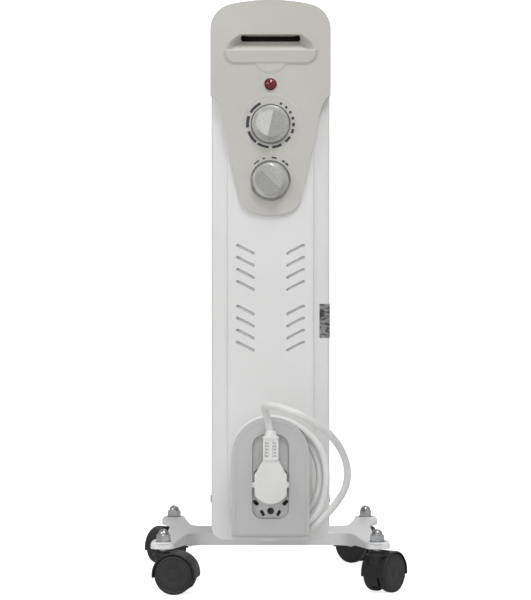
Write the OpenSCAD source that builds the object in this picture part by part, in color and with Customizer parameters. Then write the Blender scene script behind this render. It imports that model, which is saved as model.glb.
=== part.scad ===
// Oil filled radiator heater on four twin-wheel casters.
// Millimetres. +Z is up, the control panel faces -Y and the floor is z = 0.
// The y positions called "from the base" are measured from the base plate's centre.

/* [Base plate] */
// How far the base plate's centre lies behind the heater's middle
base_y = 40; // [38:1:42]
// Height of the base plate's top face
base_top = 52; // [51:0.5:54]
// Thickness of the pressed sheet
base_sheet = 1.5; // [1:0.1:2]
// Half of the centre bar's depth
bar_half = 28; // [27:0.5:32]
// Height of the turned-down edge at the centre bar
bar_edge = 14; // [10:0.5:16]
// Height of the turned-down edge at the caster tabs
tab_edge = 8; // [5:0.5:8]
// Caster stems, from the centre line
stem_x = 109; // [106:1:110]
// Caster stems, from the base
stem_y = 110; // [106:1:112]

/* [Casters] */
// Wheel radius
wheel_r = 20; // [19:0.5:20]
// Outer radius of the hood
hood_r = 22.5; // [21.5:0.1:22.5]
// Distance of the axle behind the stem
trail = 13; // [10:0.5:14]
// Half of the width over both wheels
caster_half = 14; // [13:0.5:16]
// Half of the centre body's width
caster_core = 4.8; // [4.6:0.1:5.5]
// Radius of the stem
stem_r = 4; // [3.8:0.1:4]
// Radius of the wheel axle
axle_r = 3; // [2:0.1:3]
// Rest turn of the front left caster, in degrees
turn_fl = -100; // [-180:1:180]
// Rest turn of the front right caster, in degrees
turn_fr = -38; // [-180:1:180]
// Rest turn of the rear left caster, in degrees
turn_rl = 142; // [-180:1:180]
// Rest turn of the rear right caster, in degrees
turn_rr = 53; // [-180:1:180]

/* [Radiator] */
// Number of fins
fin_count = 7; // [7:1:7]
// Distance from fin to fin
fin_pitch = 40; // [38:1:40]
// Width of a fin
fin_w = 112; // [106:1:113]
// Lowest point of the fins
fin_low = 60; // [58:1:62]
// Highest point of the fins
fin_high = 570; // [560:1:575]
// Depth of a fin's folded side
fold_d = 28; // [20:1:30]
// Height of the lower hubs
hub_low = 102; // [100:1:104]
// Height of the upper hubs
hub_high = 528; // [520:1:530]
// Outer radius of a hub
hub_r = 20; // [19:0.5:20]
// Sheet thickness of the fins
fin_wall = 1.2; // [1:0.1:1.4]

/* [Control housing] */
// Distance of the housing's face from the base
face_off = 190; // [188:1:192]
// Depth of the housing
housing_d = 53; // [52:1:54]
// Half of the housing's width
housing_half = 58; // [58:1:58]
// Bottom of the housing
housing_low = 64.4; // [63:0.2:66]
// Top of the housing
housing_high = 587; // [585:0.5:588]
// Sheet thickness of the housing
housing_wall = 1.2; // [1:0.1:1.2]

/* [Control panel] */
// How far the panel stands in front of the housing
panel_t = 3; // [2.5:0.1:3.5]
// Half of the panel's width
panel_half = 58.8; // [58.5:0.1:59]
// Top of the panel
panel_top = 592; // [590:1:594]
// Height of the indicator lamp
lamp_z = 509.5; // [508:0.5:511]
// Height of the thermostat knob
thermo_z = 470.5; // [469:0.5:472]
// Height of the power knob
power_z = 415.5; // [414:0.5:417]
// Radius of the thermostat knob
thermo_r = 18; // [17:0.1:18.5]
// Radius of the power knob
power_r = 17.4; // [17:0.1:18]

/* [Cord store] */
// Distance from the housing to the back of the cover
core_d = 30; // [29:0.5:31]
// Thickness of the cover
cover_t = 4; // [3:0.5:4]
// Radius of the cover's arch
arch_r = 37.4; // [36:0.2:38]
// Height of the arch's centre
arch_z = 149.3; // [149:0.1:150]
// Bottom of the cover
cover_low = 68.8; // [68:0.2:70]
// Radius of the core that the cord is wound on
core_r = 25; // [25:0.1:25.4]
// Height of the centre of the core's lower end
core_low = 106; // [105:0.5:107]
// Diameter of the cord
cord_d = 7; // [6.8:0.1:7]
// Height of the plug's centre
plug_z = 121.8; // [121:0.1:122.5]
// Radius of the plug
plug_r = 18.6; // [18:0.1:18.6]

/* [Hidden] */
$fn = 48;

face_y = base_y - face_off;
housing_rear = face_y + housing_d;
panel_y = face_y - panel_t;
cover_back = face_y - core_d;
cover_front = cover_back - cover_t;
base_low = base_top - bar_edge;
fin_first = base_y - fin_pitch * (fin_count - 1) / 2;

// Small gaps: between solids that only face each other, and in a running fit
gap = 0.25;
run = 0.05;

// Fins
fin_corner = 30;
fin_sheet = 1.6;
channel_x = 30;
channel_w = 18;
channel_d = 13;
manifold_h = 26;
stub_front = 12;
filler_r = 5;
filler_head = 4;

// Heating elements: two hairpins in the lower hubs
rod_r = 4;
hairpin_x = 7.5;
leg = 6.5;
hairpin_back = base_y + 112;
rod_front = face_y + 44;
blade_r = 1.6;
blade_front = face_y + 36;
flange_t = 3;

// Base plate's outline, one quarter
bar_end = 68;
tab_in = 97;
tab_out = 122;
tab_end = 121;
tab_r = 8;
waist_x = 110;
waist_y = 56;

// Bolts and nuts
washer_r = 8;
washer_t = 1.5;
acorn_af = 13;
acorn_h = 12;
bolt_r = 2.5;
bolt_x = 22.8;
bolt_y = fin_pitch / 2;
nut_gap = 0.1;

// Vents
vent_x = 24.6;
vent_len = 20;
vent_w = 3;
vent_tilt = 27.2;
vent_pitch = 11.8;
vent_groups = [348.3, 289];

// Hand grip
grip_half = 46.5;
grip_low = 543.3;
grip_high = 557.5;
slot_half = 29;
slot_top = 559;
slot_back = face_y + 26;
pocket_mid = face_y + 8;

// Dials
shaft_r = 3;
shaft_len = 34;
knob_gap = 0.6;
knob_disc = 6;
ridge_h = 7;
ridge_w = 9;
screw_rows = [100, 540];
bracket_y = face_y + 6.5;
bracket_t = 1.2;

// Plug and its holder
pocket_half = 17.7;
pocket_low = 88.9;
pocket_high = 170;
shelf_y = cover_front + 5;
holder_y = cover_front + 15;
pocket_wall = 1.2;
well_gap = 1.2;
holder_hole_z = 96.3;
holder_hole_r = 3.3;
holder_slot_len = 6;
// Each holder slot: x, z, turn and width
holder_slots = [[14.2, 104.2, 48, 3.6], [7.8, 94.3, 60, 3]];
plug_back = holder_y - 0.3;
plug_front = holder_y - 24;
plug_flat = 15.4;
neck_y = holder_y - 19.5;
neck_w = 14.8;
neck_d = 11;
neck_top = 169;
pin_x = 9.5;
pin_r = 2.4;
pin_len = 18.6;

// Cord: the winding's outline and the route of the free stretch, with y from the base
layer = 14.4;
bulge = 54;
wind_back = face_y - 0.5;
wind_front = cover_back + 0.5;
gland_tip = -8;
gland_z = core_low - core_r - cord_d / 2 - 0.1;
gland_y = face_y - 4.6;
route = [
    [0, -228.5, 168], [-0.4, -228.5, 173], [-1.6, -230, 179.5], [-3.2, -233.5, 186], [-4.6, -239, 191.5],
    [-5.5, -246, 195.5], [-5.4, -253.5, 198], [-3.9, -261, 199.5], [-0.3, -268, 200], [5, -274, 199.5],
    [11.5, -278.5, 198], [19, -281, 195.5], [26.5, -281.5, 192.5], [34, -279.5, 188.5], [41, -275, 184],
    [47.5, -269, 179.5], [54, -261.5, 174], [60, -253, 167], [65.5, -245, 159], [70, -237.5, 149.5],
    [73, -230.5, 139], [73.5, -225, 128], [71, -221, 117], [65.5, -218.5, 107], [58.5, -216.5, 97.5],
    [50.5, -215.5, 89], [42.5, -214.5, 81.5]
];

// Outline helpers, in the plane of the shape
function arc(cx, cy, r, a0, a1, n = 6) = [
    for (i = [0:n]) let (a = a0 + (a1 - a0) * i / n) [cx + r * cos(a), cy + r * sin(a)]
];
function bez(p, n = 8) = [
    for (i = [0:n]) let (t = i / n, u = 1 - t)
        u * u * u * p[0] + 3 * u * u * t * p[1] + 3 * u * t * t * p[2] + t * t * t * p[3]
];
function flipped(list) = [for (i = [len(list) - 1:-1:0]) list[i]];
function scaled(list, sx, sy) = [for (p = list) [p[0] * sx, p[1] * sy]];
function both_sides(half) = concat(half, scaled(flipped(half), -1, 1));
function box_round(x0, x1, y0, y1, r, n = 6) = concat(
    arc(x1 - r, y1 - r, r, 0, 90, n), arc(x0 + r, y1 - r, r, 90, 180, n),
    arc(x0 + r, y0 + r, r, 180, 270, n), arc(x1 - r, y0 + r, r, 270, 360, n)
);
// A shape with straight sides and round ends at the heights z0 and z1
function long_round(r, z0, z1, n = 12) = concat(arc(0, z1, r, 0, 180, n), arc(0, z0, r, 180, 360, n));

// Solid helpers: extrude an outline along y or x, a rod along y or x, an upright box
module along_y(y0, y1) {
    translate([0, y1, 0])
        rotate([90, 0, 0])
            linear_extrude(height = y1 - y0)
                children();
}
module along_x(x0, x1) {
    translate([x0, 0, 0])
        rotate([90, 0, 90])
            linear_extrude(height = x1 - x0)
                children();
}
module rod_y(x, z, r, y0, y1) {
    translate([x, y0, z])
        rotate([-90, 0, 0])
            cylinder(r = r, h = y1 - y0);
}
module rod_x(y, z, r, x0, x1) {
    translate([x0, y, z])
        rotate([0, 90, 0])
            cylinder(r = r, h = x1 - x0);
}
module rod_z(x, y, r, z0, z1) {
    translate([x, y, z0])
        cylinder(r = r, h = z1 - z0);
}
module block(x0, x1, y0, y1, z0, z1) {
    translate([x0, y0, z0])
        cube([x1 - x0, y1 - y0, z1 - z0]);
}

// ---- Base plate and what bolts to it ----

// One quarter of the outline, drawn in by d: from the centre bar, round the tab, to the waist
function base_quarter(d) = concat(
    bez([[bar_end, bar_half - d], [bar_end + 12, bar_half - d],
         [bar_end + 16 + d, bar_half + 6 - d / 2], [bar_end + 19 + d, bar_half + 20]]),
    arc(tab_in + tab_r, tab_end - tab_r, tab_r - d, 180, 90),
    arc(tab_out - tab_r, tab_end - tab_r, tab_r - d, 90, 0),
    bez([[tab_out - d, tab_end - 22], [tab_out - d, tab_end - 42],
         [waist_x - d, waist_y + 22], [waist_x - d, waist_y]])
);
function base_outline(d) = concat(
    flipped(base_quarter(d)), scaled(base_quarter(d), -1, 1),
    scaled(flipped(base_quarter(d)), -1, -1), scaled(base_quarter(d), 1, -1)
);
module at_stems() {
    for (sx = [-1, 1])
        for (sy = [-1, 1])
            translate([sx * stem_x, base_y + sy * stem_y, 0])
                children();
}
module at_bolts() {
    for (sx = [-1, 1])
        for (sy = [-1, 1])
            translate([sx * bolt_x, base_y + sy * bolt_y, 0])
                children();
}
module base_edge() {
    edge = [[-tab_end, base_top], [-tab_end, base_top - tab_edge], [-62, base_top - tab_edge],
            [-42, base_low]];
    intersection() {
        translate([0, 0, base_low])
            linear_extrude(height = bar_edge)
                difference() {
                    polygon(base_outline(0));
                    polygon(base_outline(base_sheet));
                }
        along_x(-130, 130)
            polygon(concat(edge, scaled(flipped(edge), -1, 1)));
    }
}
module base_plate() {
    color("white")
        difference() {
            translate([0, base_y, 0])
                union() {
                    translate([0, 0, base_top - base_sheet])
                        linear_extrude(height = base_sheet)
                            polygon(base_outline(0));
                    base_edge();
                }
            at_stems()
                rod_z(0, 0, stem_r + 0.2, base_low, base_top + 1);
            at_bolts()
                rod_z(0, 0, bolt_r + 0.3, base_low, base_top + 1);
        }
}
module caster_stems() {
    color("dimgray")
        at_stems() {
            rod_z(0, 0, stem_r, 24, base_top + washer_t + 6);
            difference() {
                rod_z(0, 0, 6, base_top - base_sheet - 4, base_top - base_sheet);
                rod_z(0, 0, stem_r, base_top - 10, base_top);
            }
        }
}
module caster_washers() {
    color("silver")
        at_stems()
            difference() {
                rod_z(0, 0, washer_r, base_top, base_top + washer_t);
                rod_z(0, 0, stem_r + 0.2, base_top - 1, base_top + washer_t + 1);
            }
}
module caster_nuts() {
    nut_z = base_top + washer_t;
    hex_h = acorn_h / 2;
    color("silver")
        at_stems()
            difference() {
                union() {
                    translate([0, 0, nut_z])
                        cylinder(r = acorn_af / sqrt(3), h = hex_h, $fn = 6);
                    translate([0, 0, nut_z + hex_h - 0.5])
                        intersection() {
                            sphere(r = hex_h + 0.5);
                            rod_z(0, 0, acorn_af / 2, 0, acorn_h);
                        }
                }
                rod_z(0, 0, stem_r, nut_z - 1, nut_z + 6);
            }
}
module u_bolts() {
    color("silver")
        for (sy = [-1, 1])
            translate([0, base_y + sy * bolt_y, 0]) {
                for (sx = [-1, 1])
                    rod_z(sx * bolt_x, 0, bolt_r, base_low + 1, hub_low);
                translate([0, 0, hub_low])
                    rotate([90, 0, 0])
                        rotate_extrude(angle = 180)
                            translate([bolt_x, 0])
                                circle(r = bolt_r);
            }
}
module wing_nuts() {
    top = base_top - base_sheet;
    color("silver")
        at_bolts()
            difference() {
                union() {
                    rod_z(0, 0, 5, top - 6, top);
                    for (s = [-1, 1])
                        along_y(-1.2, 1.2)
                            polygon([[s * 4, top - 1], [s * 11, top - 3], [s * 12, top - 8],
                                     [s * 8, top - 9], [s * 4, top - 5]]);
                }
                rod_z(0, 0, bolt_r + nut_gap / 2, top - 10, top + 1);
            }
}
module neck_saddles() {
    color("gainsboro")
        for (sy = [-1, 1])
            translate([0, base_y + sy * bolt_y, 0])
                difference() {
                    block(-14, 14, -6, 6, base_top, hub_low - 8);
                    rod_y(0, hub_low, hub_r + nut_gap, -7, 7);
                }
}

// ---- Radiator ----

function fin_y(i) = fin_first + fin_pitch * (i - 1);

module channels(inset) {
    w = channel_w - 2 * inset;
    h = manifold_h - 2 * inset;
    for (x = [-channel_x, 0, channel_x])
        polygon(box_round(x - w / 2, x + w / 2, hub_low - h / 2 + 2, hub_high + h / 2 - 2, w / 2 - 1));
    for (z = [hub_low, hub_high])
        polygon(box_round(-channel_x - w / 2, channel_x + w / 2, z - h / 2, z + h / 2, h / 2 - 1));
}
module fin_fold(side) {
    half = fold_d / 2;
    right = [[half, hub_low + 30], [half, hub_high - 30], [2, hub_high], [-2, hub_high]];
    x = side * (fin_w / 2 - fin_wall / 2);
    along_x(x - fin_wall / 2, x + fin_wall / 2)
        polygon(concat(right, [[-half, hub_high - 30], [-half, hub_low + 30], [-2, hub_low], [2, hub_low]]));
}
module fin(i) {
    front = i == 1 ? stub_front : fin_pitch / 2;
    rear = fin_pitch / 2;
    last = i == fin_count;
    color("white")
        translate([0, fin_y(i), 0])
            difference() {
                union() {
                    along_y(-fin_sheet / 2, fin_sheet / 2)
                        polygon(box_round(-fin_w / 2, fin_w / 2, fin_low, fin_high, fin_corner));
                    along_y(-channel_d / 2, channel_d / 2)
                        channels(0);
                    for (z = [hub_low, hub_high])
                        rod_y(0, z, hub_r, -front, rear);
                    for (side = [-1, 1])
                        fin_fold(side);
                }
                along_y(-channel_d / 2 + fin_wall, channel_d / 2 - fin_wall)
                    channels(fin_wall);
                rod_y(0, hub_low, hub_r - fin_wall, -front - 1, rear + (last ? -fin_wall : 1));
                rod_y(0, hub_high, hub_r - fin_wall, -front + (i == 1 ? fin_wall : -1),
                      rear + (last ? -fin_wall : 1));
                if (last)
                    rod_y(0, hub_high, filler_r, 0, rear + 1);
            }
}
module oil_fill() {
    inset = fin_wall + gap;
    r = hub_r - inset;
    front = fin_y(1) - stub_front;
    rear = fin_y(fin_count) + fin_pitch / 2 - inset;
    color("khaki")
        difference() {
            union() {
                for (i = [1:fin_count])
                    along_y(fin_y(i) - channel_d / 2 + inset, fin_y(i) + channel_d / 2 - inset)
                        channels(inset);
                rod_y(0, hub_high, r, front + inset, rear);
                rod_y(0, hub_low, r, front + gap, rear);
            }
            for (s = [-1, 1])
                along_y(front - 1, hairpin_back + leg + rod_r + 1)
                    polygon(box_round(s * hairpin_x - rod_r - gap, s * hairpin_x + rod_r + gap,
                                      hub_low - leg - rod_r - gap, hub_low + leg + rod_r + gap, rod_r));
        }
}
module filler_plug() {
    y = fin_y(fin_count) + fin_pitch / 2;
    color("silver") {
        rod_y(0, hub_high, filler_r, y - fin_wall, y + 1);
        translate([0, y, hub_high])
            rotate([-90, 0, 0])
                cylinder(r = 8, h = filler_head, $fn = 6);
    }
}
module heating_elements() {
    color("gray")
        for (s = [-1, 1]) {
            for (up = [-1, 1]) {
                rod_y(s * hairpin_x, hub_low + up * leg, rod_r, rod_front, hairpin_back);
                rod_y(s * hairpin_x, hub_low + up * leg, blade_r, blade_front, rod_front);
            }
            translate([s * hairpin_x, hairpin_back, hub_low])
                rotate([0, 90, 0])
                    rotate_extrude(angle = 180)
                        translate([leg, 0])
                            circle(r = rod_r);
        }
}
module element_holes(y0, y1, r) {
    for (sx = [-1, 1])
        for (sz = [-1, 1])
            rod_y(sx * hairpin_x, hub_low + sz * leg, r, y0, y1);
}
module element_flange() {
    y = fin_y(1) - stub_front;
    color("silver")
        difference() {
            rod_y(0, hub_low, hub_r + 4, y - flange_t, y);
            element_holes(y - flange_t - 1, y + 1, rod_r);
        }
}
module heat_shield() {
    y = housing_rear - 2;
    half = housing_half - housing_wall - 0.1;
    color("silver")
        difference() {
            union() {
                along_y(y, y + 1)
                    polygon(box_round(-half, half, housing_low + 12, housing_high - 12, 18));
                for (s = [-1, 1])
                    for (z = screw_rows)
                        block(s * half - (s > 0 ? 1 : 0), s * half + (s > 0 ? 0 : 1),
                              y - 12, y + 1, z - 9, z + 9);
            }
            element_holes(y - 1, y + 2, rod_r + 2);
            for (z = screw_rows)
                rod_x(y - 6, z, 2, -housing_half, housing_half);
            rod_y(0, hub_high, 3.2, y - 1, y + 2);
        }
}

// ---- Control housing ----

// Half of the plan outline, y from the face, grown by d
function plan_half(d) = concat(
    [[41, -d], [42.2 + d, 1.8 - d], [43.4 + d, 2.6 - d]],
    arc(54.3, 8.7, 3.7 + d, -90, 0),
    [[housing_half + d, housing_d]]
);
function plan_inner() = [
    [40.4, housing_wall], [42, 3.4], [53.6, 6.2], [housing_half - housing_wall, 9.2],
    [housing_half - housing_wall, housing_d + 1]
];
function front_outline(d) = concat(
    arc(housing_half - 13, housing_low + 13, 13 - d, -90, 0),
    arc(housing_half - 24, housing_high - 24, 24 - d, 0, 90),
    arc(24 - housing_half, housing_high - 24, 24 - d, 90, 180),
    arc(13 - housing_half, housing_low + 13, 13 - d, 180, 270)
);
module plan_solid(outline, z0, z1) {
    translate([0, face_y, z0])
        linear_extrude(height = z1 - z0)
            polygon(both_sides(outline));
}
module vents() {
    for (side = [-1, 1])
        for (top = vent_groups)
            for (i = [0:3])
                translate([side * vent_x, top - i * vent_pitch])
                    rotate(side * vent_tilt)
                        polygon(box_round(-vent_len / 2, vent_len / 2, -vent_w / 2, vent_w / 2,
                                          vent_w / 2 - 0.1, 4));
}
module at_panel_screws() {
    for (p = [[-35, 572], [35, 572], [-27, 445], [27, 445]])
        translate([p[0], 0, p[1]])
            children();
}
module control_housing() {
    color("white")
        difference() {
            intersection() {
                plan_solid(plan_half(0), housing_low, housing_high);
                along_y(face_y - 1, housing_rear)
                    polygon(front_outline(0));
            }
            intersection() {
                plan_solid(plan_inner(), housing_low, housing_high);
                along_y(face_y, housing_rear + 2)
                    polygon(front_outline(housing_wall));
            }
            along_y(face_y - 1, face_y + 2)
                vents();
            block(-grip_half - 4, grip_half + 4, face_y - 1, face_y + 8, grip_low - 4, grip_high + 4);
            rod_y(0, lamp_z, 6.1, face_y - 1, face_y + 2);
            for (z = [thermo_z, power_z])
                rod_y(0, z, 6, face_y - 1, face_y + 2);
            at_panel_screws()
                rod_y(0, 0, 3.8, face_y - 1, face_y + 2);
            for (z = screw_rows)
                rod_x(housing_rear - 8, z, 2, -housing_half - 1, housing_half + 1);
            rod_y(gland_tip - 24, gland_z, 4, face_y - 1, face_y + 2);
        }
}
function panel_half_outline() = concat(
    flipped(arc(0, panel_top - 182, 182, 77.5, 90)),
    flipped(arc(33.8, panel_top - 28.7, panel_half - 33.8, 0, 77.5)),
    bez([[panel_half, 499], [50, 495.5], [46.8, 478], [43.6, 455.8]]),
    bez([[31, 403], [28, 387], [20, 382.5], [2, 381.6]])
);
module control_panel() {
    half = panel_half_outline();
    color("darkgray")
        difference() {
            union() {
                difference() {
                    along_y(panel_y, face_y + 8)
                        polygon(concat(half, scaled(flipped(half), -1, 1)));
                    plan_solid(plan_half(0.15), 300, panel_top + 1);
                    along_y(panel_y - 1, face_y + 9)
                        polygon(box_round(-grip_half, grip_half, grip_low, grip_high, 6.8));
                }
                at_panel_screws()
                    rod_y(0, 0, 3.4, face_y - 1, face_y + 5);
            }
            rod_y(0, lamp_z, 6.1, panel_y - 1, face_y + 1);
            for (z = [thermo_z, power_z])
                rod_y(0, z, 4.5, panel_y - 1, face_y + 1);
            at_panel_screws()
                rod_y(0, 0, 1.4, face_y, face_y + 6);
        }
}
module handle_pocket() {
    scoop = [[face_y - 1, grip_low + 0.2], [face_y - 1, grip_high - 0.2], [pocket_mid, grip_high - 0.2],
             [pocket_mid, grip_high - 6.5]];
    color("dimgray")
        difference() {
            intersection() {
                block(-grip_half - 3.5, grip_half + 3.5, face_y, slot_back + 2,
                      grip_low - 3.5, grip_high + 3.5);
                plan_solid(plan_half(-0.1), grip_low - 5, grip_high + 5);
            }
            along_x(-grip_half + 0.2, grip_half - 0.2)
                polygon(scoop);
            block(-slot_half, slot_half, pocket_mid - 1, slot_back, grip_high - 6.5, slot_top);
            for (s = [-1, 1])
                block(s > 0 ? slot_half + 2 : -grip_half - 4, s > 0 ? grip_half + 4 : -slot_half - 2,
                      pocket_mid + 2, slot_back + 3, grip_low - 4, grip_high + 4);
        }
}
module lamp_lens() {
    color("darkred") {
        rod_y(0, lamp_z, 5.9, panel_y - 1, face_y + 1);
        intersection() {
            translate([0, panel_y + 5, lamp_z])
                sphere(r = 8.4);
            rod_y(0, lamp_z, 5.9, panel_y - 5, panel_y - 0.5);
        }
    }
}
module lamp_body() {
    color("gray")
        rod_y(0, lamp_z, 5.2, face_y + 1, face_y + 20);
}
module dial_body(z, half_w, half_h, depth) {
    y = bracket_y + bracket_t;
    difference() {
        union() {
            block(-half_w, half_w, y, y + depth, z - half_h, z + half_h);
            rod_y(0, z, 4.8, face_y + 1.5, y + 1);
        }
        rod_y(0, z, shaft_r + run, face_y, y + depth - 4);
    }
}
module thermostat_body() {
    color("tan")
        dial_body(thermo_z, 15, 16, 17);
}
module switch_body() {
    color("dimgray")
        dial_body(power_z, 16, 15, 20);
}
module component_bracket() {
    low = power_z - 22;
    high = thermo_z + 24;
    color("silver")
        difference() {
            union() {
                block(-22, 22, bracket_y, bracket_y + bracket_t, low, high);
                for (s = [-1, 1])
                    block(s * 22 - (s > 0 ? bracket_t : 0), s * 22 + (s > 0 ? 0 : bracket_t),
                          face_y + housing_wall, bracket_y + bracket_t, low, high);
            }
            for (z = [thermo_z, power_z])
                rod_y(0, z, 5, bracket_y - 1, bracket_y + 2);
        }
}
module thermal_cutout() {
    y = fin_y(1) - channel_d / 2;
    color("black") {
        rod_y(0, 300, 8, y - 5, y);
        block(-12, 12, y - 1, y, 296, 304);
    }
}
module terminal_block() {
    y = face_y + housing_wall;
    color("ivory")
        difference() {
            block(-18, 18, y, y + 14, 200, 214);
            for (x = [-12, 0, 12])
                rod_y(x, 207, 2.5, y + 8, y + 15);
        }
}

// A round bar along a list of points, each end cut square
function unit(v) = v / norm(v);
function heading(p, i) = unit(p[min(i + 1, len(p) - 1)] - p[max(i - 1, 0)]);
// Each ring's side vector is the last one's, turned as little as the route turns
function sides(p, i = 0, side = undef) =
    let (t = heading(p, i),
         seed = is_undef(side) ? (abs(t[1]) < 0.9 ? [0, 1, 0] : [1, 0, 0]) : side,
         s = unit(seed - (seed * t) * t))
    i == len(p) - 1 ? [s] : concat([s], sides(p, i + 1, s));
module bar(p, r, n = 8) {
    s = sides(p);
    rings = [
        for (i = [0:len(p) - 1])
            let (t = heading(p, i), u = s[i], v = cross(t, u))
                for (k = [0:n - 1])
                    p[i] + r * (cos(360 * k / n) * u + sin(360 * k / n) * v)
    ];
    last = (len(p) - 1) * n;
    faces = concat(
        [[for (k = [0:n - 1]) k]],
        [for (i = [0:len(p) - 2]) for (k = [0:n - 1])
            [i * n + k, (i + 1) * n + k, (i + 1) * n + (k + 1) % n]],
        [for (i = [0:len(p) - 2]) for (k = [0:n - 1])
            [i * n + k, (i + 1) * n + (k + 1) % n, i * n + (k + 1) % n]],
        [[for (k = [n - 1:-1:0]) last + k]]
    );
    polyhedron(points = rings, faces = faces, convexity = 8);
}
// A smooth line through a list of points, with m steps from point to point
function smooth_step(a, b, c, d, t) =
    0.5 * (2 * b + (c - a) * t + (2 * a - 5 * b + 4 * c - d) * t * t
           + (3 * b - a - 3 * c + d) * t * t * t);
function smooth(p, m) = concat(
    [for (i = [0:len(p) - 2]) for (j = [0:m - 1])
        smooth_step(p[max(i - 1, 0)], p[i], p[i + 1], p[min(i + 2, len(p) - 1)], j / m)],
    [p[len(p) - 1]]
);
module wiring() {
    wall = face_y + housing_wall;
    y_term = blade_front - 2.2;
    color("firebrick") {
        bar(smooth([[gland_tip - 24, wall + 1, gland_z], [gland_tip - 24, wall + 8, gland_z + 6],
                    [-20, wall + 9, 130], [-4, wall + 7, 175], [0, wall + 7, 188],
                    [0, wall + 7, 199.5]], 4), 3);
        for (s = [-1, 1]) {
            bar(smooth([[s * hairpin_x, y_term, hub_low + leg], [s * 12, y_term - 6, hub_low + 20],
                        [s * 14, wall + 16, 160], [s * 12, wall + 11, 190],
                        [s * 12, wall + 11, 199.8]], 4), 1.4);
            bar(smooth([[s * 12, wall + 11, 214.2], [s * 12, wall + 13, 240], [s * 20, wall + 18, 330],
                        [s * 12, wall + 17, 385], [s * 10, wall + 17, power_z - 15.2]], 4), 1.4);
            bar([[s * 9, wall + 16, power_z + 15.2], [s * 9, wall + 16, (power_z + thermo_z) / 2],
                 [s * 9, wall + 16, thermo_z - 16.2]], 1.4);
        }
        bar(smooth([[8, wall + 14, thermo_z + 16.4], [8, wall + 14, thermo_z + 19],
                    [8, wall + 20, thermo_z + 27], [4, wall + 24, lamp_z - 4],
                    [0, face_y + 21, lamp_z]], 4), 1.2);
    }
}

// ---- Screws and label ----

module housing_screws() {
    color("silver") {
        for (s = [0, 1])
            for (z = screw_rows)
                mirror([s, 0, 0]) {
                    rod_x(housing_rear - 8, z, 3.6, housing_half, housing_half + 2);
                    rod_x(housing_rear - 8, z, 1.9, housing_half - 7, housing_half);
                }
        rod_y(0, hub_high, 3, housing_rear - 8, fin_y(1) - stub_front);
        difference() {
            translate([0, housing_rear - 7, hub_high])
                rotate([-90, 0, 0])
                    cylinder(r = 6, h = 5, $fn = 6);
            rod_y(0, hub_high, 3, housing_rear - 8, housing_rear);
        }
    }
}
module panel_screws() {
    color("silver")
        at_panel_screws() {
            rod_y(0, 0, 4.6, face_y + 5, face_y + 7.5);
            rod_y(0, 0, 1.35, face_y + 0.5, face_y + 5);
        }
}
module rating_label() {
    edge = arc(54.3, 8.7, 4.05, 0, -90);
    back = flipped(arc(54.3, 8.7, 3.72, 0, -90));
    color("gray")
        translate([0, face_y, 262])
            linear_extrude(height = 33)
                polygon(concat(edge, [[48, 3.3], [48, 3.57]], back));
}

// ---- Cord store, cord and plug ----

module cord_gland() {
    color("gainsboro")
        difference() {
            union() {
                block(gland_tip - 28, gland_tip - 20, gland_y - 5, face_y, gland_z - 6, gland_z + 6);
                translate([gland_tip - 21, gland_y, gland_z])
                    rotate([0, 90, 0])
                        cylinder(r1 = 4.6, r2 = 4.1, h = 21);
            }
            rod_x(gland_y, gland_z, cord_d / 2, gland_tip - 12, gland_tip + 1);
        }
}
module winder_core() {
    color("gainsboro")
        along_y(cover_back, face_y)
            difference() {
                polygon(long_round(core_r, core_low, arch_z));
                polygon(long_round(core_r - 1.2, core_low, arch_z));
            }
}
function pocket_outline(d) = concat(
    arc(pocket_half - 12, pocket_high - 12, 12 + d, 0, 90),
    arc(12 - pocket_half, pocket_high - 12, 12 + d, 90, 180),
    arc(10 - pocket_half, pocket_low + 10, 10 + d, 180, 270),
    arc(pocket_half - 10, pocket_low + 10, 10 + d, 270, 360)
);
module holder_holes() {
    translate([0, holder_hole_z])
        circle(r = holder_hole_r);
    for (s = [-1, 1])
        for (slot = holder_slots)
            translate([s * slot[0], slot[1]])
                rotate(s * slot[2])
                    square([holder_slot_len, slot[3]], center = true);
}
module well_shape(d) {
    intersection() {
        translate([0, plug_z])
            circle(r = plug_r + well_gap + d);
        translate([0, plug_z])
            square([2 * (plug_flat + well_gap / 2 + d), 3 * plug_r], center = true);
    }
}
module winder_cover() {
    cover = concat(arc(0, arch_z, arch_r, 0, 180, 18), arc(3 - arch_r, cover_low + 3, 3, 180, 270),
                   arc(arch_r - 3, cover_low + 3, 3, 270, 360));
    color("gray")
        difference() {
            union() {
                along_y(cover_front, cover_back)
                    polygon(cover);
                along_y(cover_back - 1, shelf_y + pocket_wall)
                    polygon(pocket_outline(pocket_wall));
                along_y(shelf_y, holder_y + pocket_wall)
                    well_shape(pocket_wall);
            }
            along_y(cover_front - 1, shelf_y)
                polygon(pocket_outline(0));
            along_y(shelf_y - 1, holder_y)
                well_shape(0);
            along_y(shelf_y - 1, shelf_y + 3)
                holder_holes();
            for (s = [-1, 1])
                rod_y(s * pin_x, plug_z, pin_r + 0.5, holder_y - 1, holder_y + 3);
        }
}
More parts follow.
